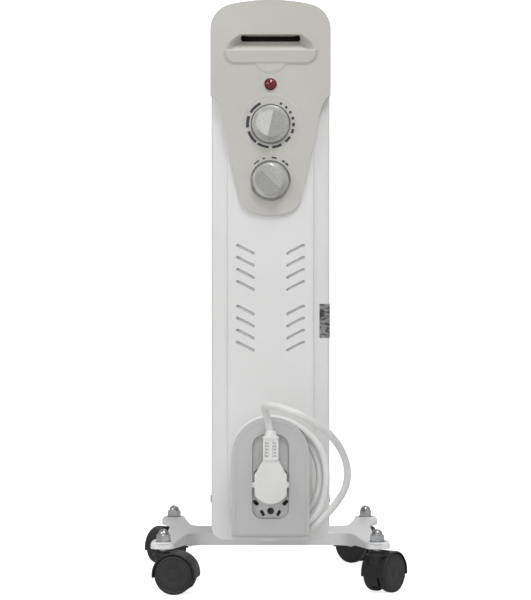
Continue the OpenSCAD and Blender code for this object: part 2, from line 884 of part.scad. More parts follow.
// Outer edge of the wound cord: it hugs the core on the left and hangs loose on the right
function winding_outline() = concat(
    arc(0, arch_z, core_r + layer, 90, 180, 10),
    arc(0, core_low, core_r + layer, 180, 290, 12),
    bez([[40, 80], [50, 92], [bulge, 108], [bulge, 126]], 8),
    bez([[bulge, 134], [bulge, 160], [30, 184], [12, core_r + layer + arch_z - 2]], 8)
);
module cord_winding() {
    color("whitesmoke")
        difference() {
            along_y(wind_front, wind_back)
                polygon(winding_outline());
            along_y(wind_front - 1, wind_back + 1)
                polygon(long_round(core_r + 0.2, core_low, arch_z));
            block(gland_tip - 34, gland_tip + 2, gland_y - 5.4, face_y + 1, 60, gland_z + 7);
        }
}
module cord_lead() {
    color("whitesmoke")
        translate([0, base_y, 0])
            bar(smooth(route, 3), cord_d / 2, 10);
}
module plug_body() {
    color("white")
        union() {
            intersection() {
                rod_y(0, plug_z, plug_r, plug_front, plug_back);
                block(-plug_flat, plug_flat, plug_front, plug_back, plug_z - 20, plug_z + 20);
            }
            for (s = [-1, 1])
                block(s * (plug_flat + 0.6) - 1.6, s * (plug_flat + 0.6) + 1.6,
                      plug_front + 5, shelf_y - 0.5, plug_z - 2.5, plug_z + 2.5);
            translate([0, neck_y, 130])
                linear_extrude(height = neck_top - 132)
                    polygon(box_round(-neck_w / 2, neck_w / 2, -neck_d / 2, neck_d / 2, 4));
            translate([0, neck_y, neck_top - 4])
                linear_extrude(height = 4)
                    polygon(box_round(-neck_w / 2 - 0.5, neck_w / 2 + 0.5,
                                      -neck_d / 2 - 0.1, neck_d / 2 + 0.1, 4.5));
        }
}
module plug_contacts() {
    color("silver") {
        for (s = [-1, 1]) {
            rod_y(s * pin_x, plug_z, pin_r, plug_back, plug_back + pin_len - 1);
            rod_y(s * pin_x, plug_z, pin_r - 0.6, plug_back + pin_len - 2, plug_back + pin_len);
        }
        for (s = [-1, 1])
            translate([0, plug_back - 5, plug_z + s * (plug_r + 0.4)])
                cube([4, 10, 0.7], center = true);
    }
}

// ---- Dials ----

module knob(z, r, tilt) {
    y = panel_y - knob_gap;
    color("silver")
        difference() {
            union() {
                translate([0, y, z])
                    rotate([90, 0, 0])
                        rotate_extrude()
                            polygon([[0, 0], [r, 0], [r, knob_disc - 2], [r - 0.6, knob_disc - 0.6],
                                     [r - 2, knob_disc], [0, knob_disc]]);
                intersection() {
                    translate([0, y - knob_disc + 1, z])
                        rotate([0, tilt, 0])
                            translate([-ridge_w / 2, -ridge_h - 1, -r])
                                cube([ridge_w, ridge_h + 1, 2 * r]);
                    rod_y(0, z, r - 0.8, y - 20, y);
                }
            }
            rod_y(0, z, shaft_r, y - knob_disc - 2, y + 1);
        }
}
module shaft(z) {
    y = panel_y - knob_gap - knob_disc - 2;
    color("silver")
        rod_y(0, z, shaft_r, y, y + shaft_len - 2);
}

// ---- Casters: the local +y axis is the trailing direction ----

module at_caster(name) {
    front = name[0] == "f";
    left = name[1] == "l";
    turn = front ? (left ? turn_fl : turn_fr) : (left ? turn_rl : turn_rr);
    translate([left ? -stem_x : stem_x, base_y + (front ? -stem_y : stem_y), 0])
        rotate(turn)
            children();
}
module caster_body(name) {
    neck_top_z = base_top - tab_edge - 1;
    color("black")
        at_caster(name)
            difference() {
                union() {
                    intersection() {
                        difference() {
                            rod_x(trail, wheel_r, hood_r, -caster_half, caster_half);
                            rod_x(trail, wheel_r, wheel_r + 0.7, -caster_half - 1, caster_half + 1);
                        }
                        block(-caster_half - 1, caster_half + 1, -20, 50, 17, 50);
                    }
                    difference() {
                        rod_x(trail, wheel_r, wheel_r + 1, -caster_core, caster_core);
                        block(-10, 10, -20, 50, -5, 7);
                    }
                    difference() {
                        rod_z(0, 0, 8.5, 24, neck_top_z);
                        rod_x(trail, wheel_r, wheel_r + 0.7, -10, 10);
                    }
                }
                rod_z(0, 0, stem_r + run, 22, 50);
                rod_x(trail, wheel_r, axle_r, -10, 10);
            }
}
module caster_axle(name) {
    color("gray")
        at_caster(name)
            rod_x(trail, wheel_r, axle_r, 2 - caster_half, caster_half - 2);
}
module caster_wheel(name, side) {
    inner = caster_core + 0.5;
    color("black")
        at_caster(name)
            mirror([side > 0 ? 0 : 1, 0, 0])
                translate([0, trail, wheel_r])
                    rotate([0, 90, 0])
                        rotate_extrude()
                            polygon([
                                [axle_r + run, inner], [wheel_r - 1, inner], [wheel_r, inner + 1],
                                [wheel_r, caster_half - 2.4], [wheel_r - 0.7, caster_half - 0.9],
                                [wheel_r - 2.2, caster_half - 0.2], [0, caster_half - 0.2],
                                [0, caster_half - 1.7], [axle_r + run, caster_half - 1.7]
                            ]);
}

base_plate();
caster_stems();
caster_washers();
caster_nuts();
u_bolts();
wing_nuts();
neck_saddles();
fin(1);  // fin_1
fin(2);  // fin_2
fin(3);  // fin_3
fin(4);  // fin_4
fin(5);  // fin_5
fin(6);  // fin_6
fin(7);  // fin_7
oil_fill();
filler_plug();
heating_elements();
element_flange();
heat_shield();
control_housing();
control_panel();
handle_pocket();
lamp_lens();
lamp_body();
thermostat_body();
switch_body();
component_bracket();
thermal_cutout();
terminal_block();
wiring();
cord_gland();
winder_core();
winder_cover();
housing_screws();
panel_screws();
rating_label();
cord_winding();
cord_lead();
plug_body();
plug_contacts();
knob(thermo_z, thermo_r, 12);  // thermostat_knob
shaft(thermo_z);  // thermostat_shaft
knob(power_z, power_r, -45);  // power_knob
shaft(power_z);  // power_shaft
caster_body("fl");  // caster_fl_body
caster_axle("fl");  // caster_fl_axle
caster_wheel("fl", 1);  // caster_fl_wheel_a
caster_wheel("fl", -1);  // caster_fl_wheel_b
caster_body("fr");  // caster_fr_body
caster_axle("fr");  // caster_fr_axle
caster_wheel("fr", 1);  // caster_fr_wheel_a
caster_wheel("fr", -1);  // caster_fr_wheel_b
caster_body("rl");  // caster_rl_body
caster_axle("rl");  // caster_rl_axle
caster_wheel("rl", 1);  // caster_rl_wheel_a
caster_wheel("rl", -1);  // caster_rl_wheel_b
caster_body("rr");  // caster_rr_body
caster_axle("rr");  // caster_rr_axle
caster_wheel("rr", 1);  // caster_rr_wheel_a
caster_wheel("rr", -1);  // caster_rr_wheel_b
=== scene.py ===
"""Studio scene of an oil filled radiator heater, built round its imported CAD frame.

New shapes are worked in millimetres, in the frame's own axes, and become metres when a piece is made.
"""

import logging
import math
from dataclasses import dataclass
from enum import Enum
from typing import Callable, Iterable, Optional, Sequence

import bmesh
import bpy
from bmesh.types import BMEdge, BMVert
from mathutils import Matrix, Vector


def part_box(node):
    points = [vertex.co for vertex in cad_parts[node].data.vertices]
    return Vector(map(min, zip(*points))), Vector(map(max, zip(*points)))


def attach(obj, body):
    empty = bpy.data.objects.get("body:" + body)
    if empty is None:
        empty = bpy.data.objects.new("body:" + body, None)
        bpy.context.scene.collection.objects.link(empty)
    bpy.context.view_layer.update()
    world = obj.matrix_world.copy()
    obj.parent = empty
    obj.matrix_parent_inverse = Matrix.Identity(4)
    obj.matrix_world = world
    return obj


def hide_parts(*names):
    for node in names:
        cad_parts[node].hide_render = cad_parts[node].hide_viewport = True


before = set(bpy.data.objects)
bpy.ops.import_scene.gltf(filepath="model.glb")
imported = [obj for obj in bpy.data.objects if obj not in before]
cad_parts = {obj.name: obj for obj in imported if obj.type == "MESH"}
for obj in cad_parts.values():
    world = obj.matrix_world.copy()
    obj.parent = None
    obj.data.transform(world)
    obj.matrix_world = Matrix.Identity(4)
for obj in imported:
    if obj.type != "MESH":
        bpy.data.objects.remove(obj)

MM = 0.001
# Points nearer than this, in millimetres, become one: in new shapes, after a cut and in CAD copies
WELD = 0.0005
CUT_WELD = 0.001
CAD_WELD = 0.002
LOG = logging.getLogger("heater")
BODY = "heater"
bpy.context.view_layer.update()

Point2 = tuple[float, float]
Colour = tuple[float, float, float]
Outline = list[Point2]


# ---- Outlines ----


def arc(cx: float, cy: float, r: float, start: float, end: float, steps: int = 12) -> Outline:
    """Points along a circular arc.

    Args:
        cx, cy: the centre.
        r: the radius.
        start, end: angles in degrees.
        steps: how many chords.

    Returns:
        The points, both ends among them.
    """
    angles = [math.radians(start + (end - start) * i / steps) for i in range(steps + 1)]
    return [(cx + r * math.cos(a), cy + r * math.sin(a)) for a in angles]


def bezier(p: Sequence[Point2], steps: int = 16) -> Outline:
    """Points along a cubic curve with four control points.

    Args:
        p: the control points.
        steps: how many chords.

    Returns:
        The points, both ends among them.
    """
    line = []
    for i in range(steps + 1):
        t = i / steps
        u = 1 - t
        weights = (u**3, 3 * u * u * t, 3 * u * t * t, t**3)
        line.append(tuple(sum(w * q[k] for w, q in zip(weights, p)) for k in (0, 1)))
    return line


def mirrored(half: Outline) -> Outline:
    """A closed outline from its right half, which runs from the middle back to the middle."""
    return half + [(-x, y) for x, y in reversed(half)]


def rounded_box(x0: float, x1: float, y0: float, y1: float, r: float, steps: int = 8) -> Outline:
    """A rectangle with round corners, counterclockwise.

    Args:
        x0, x1, y0, y1: its sides.
        r: the corners' radius.
        steps: how many chords a corner has.

    Returns:
        The closed outline.
    """
    return (
        arc(x1 - r, y1 - r, r, 0, 90, steps)
        + arc(x0 + r, y1 - r, r, 90, 180, steps)
        + arc(x0 + r, y0 + r, r, 180, 270, steps)
        + arc(x1 - r, y0 + r, r, 270, 360, steps)
    )


def circle(cx: float, cy: float, r: float, steps: int = 48) -> Outline:
    """A closed circle."""
    return arc(cx, cy, r, 0, 360, steps)[:-1]


def placed(line: Outline, dx: float, dy: float, turn: float = 0.0) -> Outline:
    """An outline turned about its origin by turn degrees and moved."""
    c, s = math.cos(math.radians(turn)), math.sin(math.radians(turn))
    return [(dx + x * c - y * s, dy + x * s + y * c) for x, y in line]


def ease(t: float) -> float:
    """A smooth step from 0 to 1."""
    t = min(1.0, max(0.0, t))
    return t * t * (3 - 2 * t)


# ---- Shapes ----


class Plane(Enum):
    """The plane that an outline is drawn in."""

    FRONT = "xz"
    FLOOR = "xy"
    SIDE = "yz"

    def lift(self, point: Point2, height: float) -> Vector:
        """The point in space of an outline's point at a height over the plane.

        Args:
            point: the outline's point.
            height: how far over the plane.

        Returns:
            The point in space.
        """
        u, v = point
        if self is Plane.FRONT:
            return Vector((u, height, v))
        if self is Plane.FLOOR:
            return Vector((u, v, height))
        return Vector((height, u, v))

    @property
    def normal(self) -> Vector:
        """The direction that the plane faces."""
        return self.lift((0, 0), 1)


class Cut(Enum):
    """How two shapes are combined."""

    MINUS = "DIFFERENCE"
    COMMON = "INTERSECT"


# Turns a shape that stands on Z so that its top faces -Y, or +X
FACING_FRONT = Matrix.Rotation(math.radians(90), 4, "X")
FACING_RIGHT = Matrix.Rotation(math.radians(90), 4, "Y")


class Shape:
    """A mesh being worked, in millimetres."""

    def __init__(self) -> None:
        """Starts with nothing in it."""
        self.bm = bmesh.new()

    @classmethod
    def slab(cls, outlines: Sequence[Outline], plane: Plane, low: float, high: float) -> "Shape":
        """A plate from its outer outline and its holes' outlines.

        Args:
            outlines: the outer outline first, then the holes.
            plane: the plane that they are drawn in.
            low, high: the heights of the plate's two faces over that plane.

        Returns:
            The closed plate.
        """
        shape = cls()
        bm = shape.bm
        edges: list[BMEdge] = []
        for line in outlines:
            verts = [bm.verts.new(plane.lift(p, low)) for p in line]
            edges += [bm.edges.new(pair) for pair in zip(verts, verts[1:] + verts[:1])]
        shape._cap(edges, len(outlines) == 1)
        walls = bmesh.ops.extrude_edge_only(bm, edges=edges)["geom"]
        far = [g for g in walls if isinstance(g, BMVert)]
        bmesh.ops.translate(bm, verts=far, vec=plane.normal * (high - low))
        rim = [g for g in walls if isinstance(g, BMEdge) and set(g.verts) <= set(far)]
        shape._cap(rim, len(outlines) == 1)
        return shape.closed()

    def _cap(self, edges: list[BMEdge], single: bool) -> None:
        """Fills a flat loop, or a loop and its holes.

        Args:
            edges: the loops' edges.
            single: whether there is one loop only.
        """
        if single:
            bmesh.ops.contextual_create(self.bm, geom=edges)
        else:
            bmesh.ops.triangle_fill(self.bm, edges=edges, use_beauty=True, use_dissolve=False)

    @classmethod
    def lathe(cls, profile: Sequence[Point2], steps: int = 48, sweep: float = 360.0) -> "Shape":
        """A shape turned about Z.

        Args:
            profile: (radius, height) pairs.
            steps: how many sides.
            sweep: how far it turns, in degrees.

        Returns:
            The turned shape. A part turn is left open at its two ends.
        """
        shape = cls()
        bm = shape.bm
        verts = [bm.verts.new((r, 0, z)) for r, z in profile]
        edges = [bm.edges.new(pair) for pair in zip(verts, verts[1:])]
        full = sweep >= 360
        bmesh.ops.spin(
            bm,
            geom=verts + edges,
            cent=(0, 0, 0),
            axis=(0, 0, 1),
            angle=math.radians(sweep),
            steps=steps,
            use_merge=full,
        )
        return shape.closed()

    @classmethod
    def ring(cls, profile: Sequence[Point2], steps: int = 48, sweep: float = 360.0) -> "Shape":
        """A closed profile turned about Z, with flat ends when it is a part turn.

        Args:
            profile: (radius, height) pairs.
            steps: how many sides.
            sweep: how far it turns, in degrees.

        Returns:
            The turned shape.
        """
        shape = cls.lathe(list(profile) + [profile[0]], steps, sweep)
        if sweep < 360:
            ends = [e for e in shape.bm.edges if e.is_boundary]
            bmesh.ops.holes_fill(shape.bm, edges=ends)
        return shape.closed()

    @classmethod
    def of_node(cls, node: str) -> "Shape":
        """A copy of a CAD node with its doubles merged and its flat faces joined.

        Args:
            node: the node's name.

        Returns:
            The copy, in millimetres.
        """
        shape = cls()
        shape.bm.from_mesh(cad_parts[node].data)
        bmesh.ops.transform(shape.bm, matrix=Matrix.Scale(1 / MM, 4), verts=shape.bm.verts)
        bmesh.ops.remove_doubles(shape.bm, verts=shape.bm.verts, dist=CAD_WELD)
        bmesh.ops.dissolve_limit(
            shape.bm,
            angle_limit=math.radians(1.0),
            verts=shape.bm.verts,
            edges=shape.bm.edges,
        )
        return shape

    def closed(self) -> "Shape":
        """Merges doubles and turns every face outwards.

        Returns:
            The shape itself.
        """
        bmesh.ops.remove_doubles(self.bm, verts=self.bm.verts, dist=WELD)
        bmesh.ops.recalc_face_normals(self.bm, faces=self.bm.faces)
        return self

    def moved(self, matrix: Matrix) -> "Shape":
        """Turns, scales or moves the whole shape.

        Args:
            matrix: the change of place.

        Returns:
            The shape itself.
        """
        bmesh.ops.transform(self.bm, matrix=matrix, verts=self.bm.verts)
        if matrix.determinant() < 0:
            bmesh.ops.reverse_faces(self.bm, faces=self.bm.faces)
        return self

    def at(self, x: float, y: float, z: float) -> "Shape":
        """Moves the whole shape."""
        return self.moved(Matrix.Translation((x, y, z)))

    def mesh(self) -> bpy.types.Mesh:
        """The shape as a mesh of its own.

        Returns:
            The mesh, in millimetres.
        """
        made = bpy.data.meshes.new("work")
        self.bm.to_mesh(made)
        return made

    def copy(self) -> "Shape":
        """A second shape just like this one.

        Returns:
            The copy.
        """
        twin = Shape()
        twin.bm = self.bm.copy()
        return twin

    def join(self, other: "Shape", matrix: Optional[Matrix] = None) -> "Shape":
        """Adds another shape's mesh to this one, as a shell of its own.

        Args:
            other: the shape to add.
            matrix: where it goes, or None to leave it in place.

        Returns:
            The shape itself.
        """
        made = other.mesh()
        if matrix is not None:
            made.transform(matrix)
        self.bm.from_mesh(made)
        bpy.data.meshes.remove(made)
        return self

    def cut(self, other: "Shape", how: Cut = Cut.MINUS) -> "Shape":
        """Combines this shape with another by an exact boolean.

        Args:
            other: the other shape.
            how: what is kept.

        Returns:
            The shape itself.
        """
        pair = [bpy.data.objects.new("work", s.mesh()) for s in (self, other)]
        for obj in pair:
            bpy.context.scene.collection.objects.link(obj)
        step = pair[0].modifiers.new("cut", "BOOLEAN")
        step.operation = how.value
        step.solver = "EXACT"
        step.object = pair[1]
        done = pair[0].evaluated_get(bpy.context.evaluated_depsgraph_get()).to_mesh()
        self.bm.clear()
        self.bm.from_mesh(done)
        for obj in pair:
            bpy.data.objects.remove(obj)
        bmesh.ops.remove_doubles(self.bm, verts=self.bm.verts, dist=CUT_WELD)
        bmesh.ops.dissolve_degenerate(self.bm, edges=self.bm.edges, dist=WELD)
        return self

    def bevel(
        self,
        width: float,
        segments: int = 3,
        sharper: float = 30.0,
        where: Optional[Callable[[Vector], bool]] = None,
    ) -> "Shape":
        """Rounds edges.

        Args:
            width: the rounding's width.
            segments: the number of faces across it.
            sharper: only edges that turn by more than this many degrees.
            where: only edges whose two ends pass this test.

        Returns:
            The shape itself.
        """
        limit = math.radians(sharper)
        self.bm.normal_update()
        edges = [
            e
            for e in self.bm.edges
            if e.is_manifold
            and e.calc_face_angle(0) > limit
            and (where is None or all(where(v.co) for v in e.verts))
        ]
        bmesh.ops.bevel(
            self.bm,
            geom=edges,
            offset=width,
            offset_type="OFFSET",
            segments=segments,
            profile=0.5,
            affect="EDGES",
            clamp_overlap=True,
            material=-1,
        )
        return self

    def piece(
        self,
        name: str,
        finish: "Finish",
        body: str = BODY,
        replaces: Iterable[str] = (),
        crease: float = 40.0,
    ) -> bpy.types.Object:
        """Makes the shape a piece of the heater.

        Args:
            name: the piece's name.
            finish: what it is made of.
            body: the CAD body that it rides on.
            replaces: the CAD nodes that it stands for.
            crease: edges that turn by more than this many degrees stay sharp.

        Returns:
            The piece.
        """
        bm = self.bm
        for face in bm.faces:
            face.smooth = True
        bm.normal_update()
        for edge in bm.edges:
            edge.smooth = edge.is_manifold and edge.calc_face_angle(0) < math.radians(crease)
        made = self.mesh()
        made.name = name
        made.transform(Matrix.Scale(MM, 4))
        obj = bpy.data.objects.new(name, made)
        bpy.context.scene.collection.objects.link(obj)
        weights = obj.modifiers.new("even_light", "WEIGHTED_NORMAL")
        weights.keep_sharp = True
        return dressed(obj, finish, body, replaces)


def dressed(
    obj: bpy.types.Object, finish: "Finish", body: str = BODY, replaces: Iterable[str] = ()
) -> bpy.types.Object:
    """Gives a new piece its material and its body, and hides the CAD nodes that it stands for.

    Args:
        obj: the piece.
        finish: what it is made of.
        body: the CAD body that it rides on.
        replaces: the CAD nodes that it stands for.

    Returns:
        The piece.
    """
    obj.data.materials.clear()
    obj.data.materials.append(finish.material())
    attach(obj, body)
    if replaces:
        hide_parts(*replaces)
    LOG.info("%s: %d faces, %s", obj.name, len(getattr(obj.data, "polygons", [])), finish.name)
    return obj


# ---- Materials ----


def srgb(r: float, g: float, b: float) -> Colour:
    """A display colour, 0 to 255 each, as linear light.

    Args:
        r, g, b: its channels.

    Returns:
        The linear channels, 0 to 1 each.
    """

    def linear(c: float) -> float:
        """One channel."""
        c /= 255
        return c / 12.92 if c <= 0.04045 else ((c + 0.055) / 1.055) ** 2.4

    return linear(r), linear(g), linear(b)


class Graph:
    """A node tree being wired."""

    def __init__(self, tree: bpy.types.NodeTree) -> None:
        """Takes the tree to work on."""
        self.tree = tree

    def add(self, kind: str, inputs: Optional[dict] = None, **settings: object) -> bpy.types.Node:
        """Adds a node.

        Args:
            kind: the node's type.
            inputs: what each input gets, a value or another node's output.
            settings: the node's own settings.

        Returns:
            The node.
        """
        node = self.tree.nodes.new(kind)
        for key, value in settings.items():
            setattr(node, key, value)
        for key, value in (inputs or {}).items():
            if isinstance(value, bpy.types.NodeSocket):
                self.tree.links.new(value, node.inputs[key])
            else:
                node.inputs[key].default_value = value
        return node

    def math(self, how: str, a: object, b: object, clamp: bool = False) -> bpy.types.NodeSocket:
        """A sum on two numbers."""
        node = self.add("ShaderNodeMath", {0: a, 1: b}, operation=how, use_clamp=clamp)
        return node.outputs[0]

    def mix(self, share: object, a: object, b: object) -> bpy.types.NodeSocket:
        """A colour between two others.

        Args:
            share: how much of the second, 0 to 1.
            a, b: the two colours.

        Returns:
            The output that carries it.
        """
        node = self.add("ShaderNodeMix", data_type="RGBA")
        for index, value in ((0, share), (6, a), (7, b)):
            if isinstance(value, bpy.types.NodeSocket):
                self.tree.links.new(value, node.inputs[index])
            else:
                node.inputs[index].default_value = value if index == 0 else (*value[:3], 1.0)
        return node.outputs[2]

    def spread(
        self, value: object, low: float, high: float, to_low: float, to_high: float
    ) -> bpy.types.NodeSocket:
        """Maps a range onto another."""
        inputs = {0: value, 1: low, 2: high, 3: to_low, 4: to_high}
        return self.add("ShaderNodeMapRange", inputs, clamp=True).outputs[0]


class Effect(Enum):
    """Surface effects that several materials share."""

    MOTTLE = "colour_mottle"
    GRAIN = "moulded_grain"
    WEAR = "edge_wear"
    DUST = "settled_dust"


def _sockets(tree: bpy.types.NodeTree, inputs: dict, outputs: dict) -> None:
    """Names a group's inputs, with their defaults, and its outputs.

    Args:
        tree: the group.
        inputs: each input's default.
        outputs: each output's type.
    """
    kinds = {float: "NodeSocketFloat", tuple: "NodeSocketColor"}
    for name, value in inputs.items():
        socket = tree.interface.new_socket(name=name, in_out="INPUT", socket_type=kinds[type(value)])
        socket.default_value = value
    for name, kind in outputs.items():
        tree.interface.new_socket(name=name, in_out="OUTPUT", socket_type=kinds[kind])


def _mottle(g: Graph) -> None:
    """Slow, soft changes of shade over a surface.

    Args:
        g: the wiring of the group's tree.
    """
    _sockets(
        g.tree,
        {"Colour": (0.5, 0.5, 0.5, 1.0), "Shade": (0.4, 0.4, 0.4, 1.0), "Scale": 20.0},
        {"Colour": tuple},
    )
    inside = g.add("NodeGroupInput").outputs
    place = g.add("ShaderNodeTexCoord").outputs["Object"]
    slow = g.add("ShaderNodeTexNoise", {"Vector": place, "Scale": inside["Scale"], "Detail": 5.0})
    share = g.spread(slow.outputs["Fac"], 0.32, 0.68, 0.0, 1.0)
    g.add("NodeGroupOutput", {"Colour": g.mix(share, inside["Colour"], inside["Shade"])})


def _grain(g: Graph) -> None:
    """A fine surface texture: its height, and the roughness that goes with it.

    Args:
        g: the wiring of the group's tree.
    """
    _sockets(
        g.tree,
        {"Scale": 900.0, "Roughness": 0.4, "Spread": 0.1},
        {"Height": float, "Roughness": float},
    )
    inside = g.add("NodeGroupInput").outputs
    place = g.add("ShaderNodeTexCoord").outputs["Object"]
    fine = g.add("ShaderNodeTexNoise", {"Vector": place, "Scale": inside["Scale"], "Detail": 3.0})
    coarse_scale = g.math("MULTIPLY", inside["Scale"], 0.13)
    coarse = g.add("ShaderNodeTexNoise", {"Vector": place, "Scale": coarse_scale, "Detail": 2.0})
    small = g.math("MULTIPLY", fine.outputs["Fac"], 0.6)
    large = g.math("MULTIPLY", coarse.outputs["Fac"], 0.4)
    height = g.math("ADD", small, large)
    smear = g.add("ShaderNodeTexNoise", {"Vector": place, "Scale": 14.0, "Detail": 4.0, "Distortion": 0.6})
    patch = g.spread(smear.outputs["Fac"], 0.3, 0.7, -1.0, 1.0)
    rough = g.math("ADD", inside["Roughness"], g.math("MULTIPLY", inside["Spread"], patch), clamp=True)
    g.add("NodeGroupOutput", {"Height": height, "Roughness": rough})


def _wear(g: Graph) -> None:
    """A rubbed look along edges, broken up by noise.

    Args:
        g: the wiring of the group's tree.
    """
    _sockets(
        g.tree,
        {"Colour": (0.5, 0.5, 0.5, 1.0), "Worn": (0.8, 0.8, 0.8, 1.0), "Width": 0.0008, "Amount": 0.4},
        {"Colour": tuple, "Mask": float},
    )
    inside = g.add("NodeGroupInput").outputs
    geometry = g.add("ShaderNodeNewGeometry")
    soft = g.add("ShaderNodeBevel", {"Radius": inside["Width"]}, samples=4)
    normals = {0: soft.outputs["Normal"], 1: geometry.outputs["Normal"]}
    turned = g.add("ShaderNodeVectorMath", normals, operation="DOT_PRODUCT")
    edge = g.spread(turned.outputs["Value"], 0.995, 0.90, 0.0, 1.0)
    place = g.add("ShaderNodeTexCoord").outputs["Object"]
    speck = g.add("ShaderNodeTexNoise", {"Vector": place, "Scale": 260.0, "Detail": 4.0})
    broken = g.spread(speck.outputs["Fac"], 0.42, 0.62, 0.0, 1.0)
    mask = g.math("MULTIPLY", g.math("MULTIPLY", edge, broken), inside["Amount"], clamp=True)
    g.add("NodeGroupOutput", {"Colour": g.mix(mask, inside["Colour"], inside["Worn"]), "Mask": mask})


def _dust(g: Graph) -> None:
    """Fine dust where a surface faces up.

    Args:
        g: the wiring of the group's tree.
    """
    _sockets(
        g.tree,
        {"Colour": (0.5, 0.5, 0.5, 1.0), "Dust": (0.6, 0.58, 0.55, 1.0), "Amount": 0.2},
        {"Colour": tuple, "Mask": float},
    )
    inside = g.add("NodeGroupInput").outputs
    geometry = g.add("ShaderNodeNewGeometry")
    up = g.add("ShaderNodeSeparateXYZ", {0: geometry.outputs["Normal"]}).outputs["Z"]
    place = g.add("ShaderNodeTexCoord").outputs["Object"]
    cloud = g.add("ShaderNodeTexNoise", {"Vector": place, "Scale": 60.0, "Detail": 6.0})
    level = g.spread(up, 0.2, 1.0, 0.0, 1.0)
    drift = g.spread(cloud.outputs["Fac"], 0.35, 0.65, 0.3, 1.0)
    mask = g.math("MULTIPLY", g.math("MULTIPLY", level, drift), inside["Amount"], clamp=True)
    g.add("NodeGroupOutput", {"Colour": g.mix(mask, inside["Colour"], inside["Dust"]), "Mask": mask})


BUILDERS: dict[Effect, Callable[[Graph], None]] = {
    Effect.MOTTLE: _mottle,
    Effect.GRAIN: _grain,
    Effect.WEAR: _wear,
    Effect.DUST: _dust,
}


def effect_group(effect: Effect) -> bpy.types.NodeTree:
    """The node group of an effect, built the first time it is asked for.

    Args:
        effect: which one.

    Returns:
        Its node group.
    """
    tree = bpy.data.node_groups.get(effect.value)
    if tree is None:
        tree = bpy.data.node_groups.new(effect.value, "ShaderNodeTree")
        BUILDERS[effect](Graph(tree))
    return tree


def place_effect(g: Graph, effect: Effect, inputs: dict) -> bpy.types.Node:
    """Puts an effect's group into a material, with its own values.

    Args:
        g: the wiring of the material's tree.
        effect: which effect.
        inputs: what each of its inputs gets.

    Returns:
        The group's node.
    """
    node = g.add("ShaderNodeGroup", node_tree=effect_group(effect))
    for key, value in inputs.items():
        if isinstance(value, bpy.types.NodeSocket):
            g.tree.links.new(value, node.inputs[key])
        else:
            node.inputs[key].default_value = (*value, 1.0) if isinstance(value, tuple) else value
    return node


@dataclass(frozen=True)
class Finish:
    """One material: its colours, its gloss and its fine texture. Lengths are in metres."""

    name: str
    slot: str
    colour: Colour
    shade: Colour
    roughness: float
    spread: float = 0.06
    metallic: float = 0.0
    coat: float = 0.0
    coat_roughness: float = 0.15
    grain: float = 900.0
    grain_height: float = 0.00002
    mottle: float = 18.0
    worn: Optional[Colour] = None
    wear: float = 0.0
    dust: float = 0.0
    subsurface: float = 0.0
    transmission: float = 0.0
    ior: float = 1.5

    def material(self) -> bpy.types.Material:
        """The finish's material, made the first time it is asked for.

        Returns:
            The material.
        """
        name = f"studio_{self.name}"
        found = bpy.data.materials.get(name)
        if found is not None:
            return found
        made = bpy.data.materials.new(name)
        made.use_nodes = True
        made.node_tree.nodes.clear()
        self.wire(Graph(made.node_tree))
        made.diffuse_color = (*self.colour, 1.0)
        return made

    def pattern(self, g: Graph) -> bpy.types.NodeSocket:
        """The colour before wear and dust.

        Args:
            g: the wiring of the material's tree.

        Returns:
            The output that carries it.
        """
        return place_effect(
            g, Effect.MOTTLE, {"Colour": self.colour, "Shade": self.shade, "Scale": self.mottle}
        ).outputs["Colour"]

    def wire(self, g: Graph) -> None:
        """Wires the whole material.

        Args:
            g: the wiring of the material's tree.
        """
        colour = self.pattern(g)
        if self.worn is not None:
            worn = {"Colour": colour, "Worn": self.worn, "Amount": self.wear}
            colour = place_effect(g, Effect.WEAR, worn).outputs["Colour"]
        if self.dust > 0:
            colour = place_effect(g, Effect.DUST, {"Colour": colour, "Amount": self.dust}).outputs["Colour"]
        grain = place_effect(
            g, Effect.GRAIN, {"Scale": self.grain, "Roughness": self.roughness, "Spread": self.spread}
        )
        relief = {"Height": grain.outputs["Height"], "Distance": self.grain_height, "Strength": 1.0}
        bump = g.add("ShaderNodeBump", relief)
        inputs = {
            "Base Color": colour,
            "Roughness": grain.outputs["Roughness"],
            "Normal": bump.outputs["Normal"],
            "Metallic": self.metallic,
            "Coat Weight": self.coat,
            "Coat Roughness": self.coat_roughness,
            "IOR": self.ior,
            "Transmission Weight": self.transmission,
            "Subsurface Weight": self.subsurface,
            "Subsurface Radius": (0.004, 0.003, 0.0025),
        }
        shader = g.add("ShaderNodeBsdfPrincipled", inputs)
        g.add("ShaderNodeOutputMaterial", {"Surface": shader.outputs["BSDF"]})


@dataclass(frozen=True)
class LabelFinish(Finish):
    """A rating label: a pale film with plain dark bands across it."""

    band: Colour = (0.1, 0.1, 0.1)

    def pattern(self, g: Graph) -> bpy.types.NodeSocket:
        """Bands of uneven height, broken up as a print is.

        Args:
            g: the wiring of the material's tree.

        Returns:
            The output that carries the colour.
        """
        place = g.add("ShaderNodeTexCoord").outputs["Object"]
        rows = g.add("ShaderNodeMapping", {"Vector": place, "Scale": (160.0, 160.0, 420.0)})
        ink = g.add("ShaderNodeTexNoise", {"Vector": rows.outputs["Vector"], "Scale": 1.0, "Detail": 1.0})
        share = g.spread(ink.outputs["Fac"], 0.60, 0.42, 0.0, 1.0)
        return g.mix(share, self.colour, self.band)


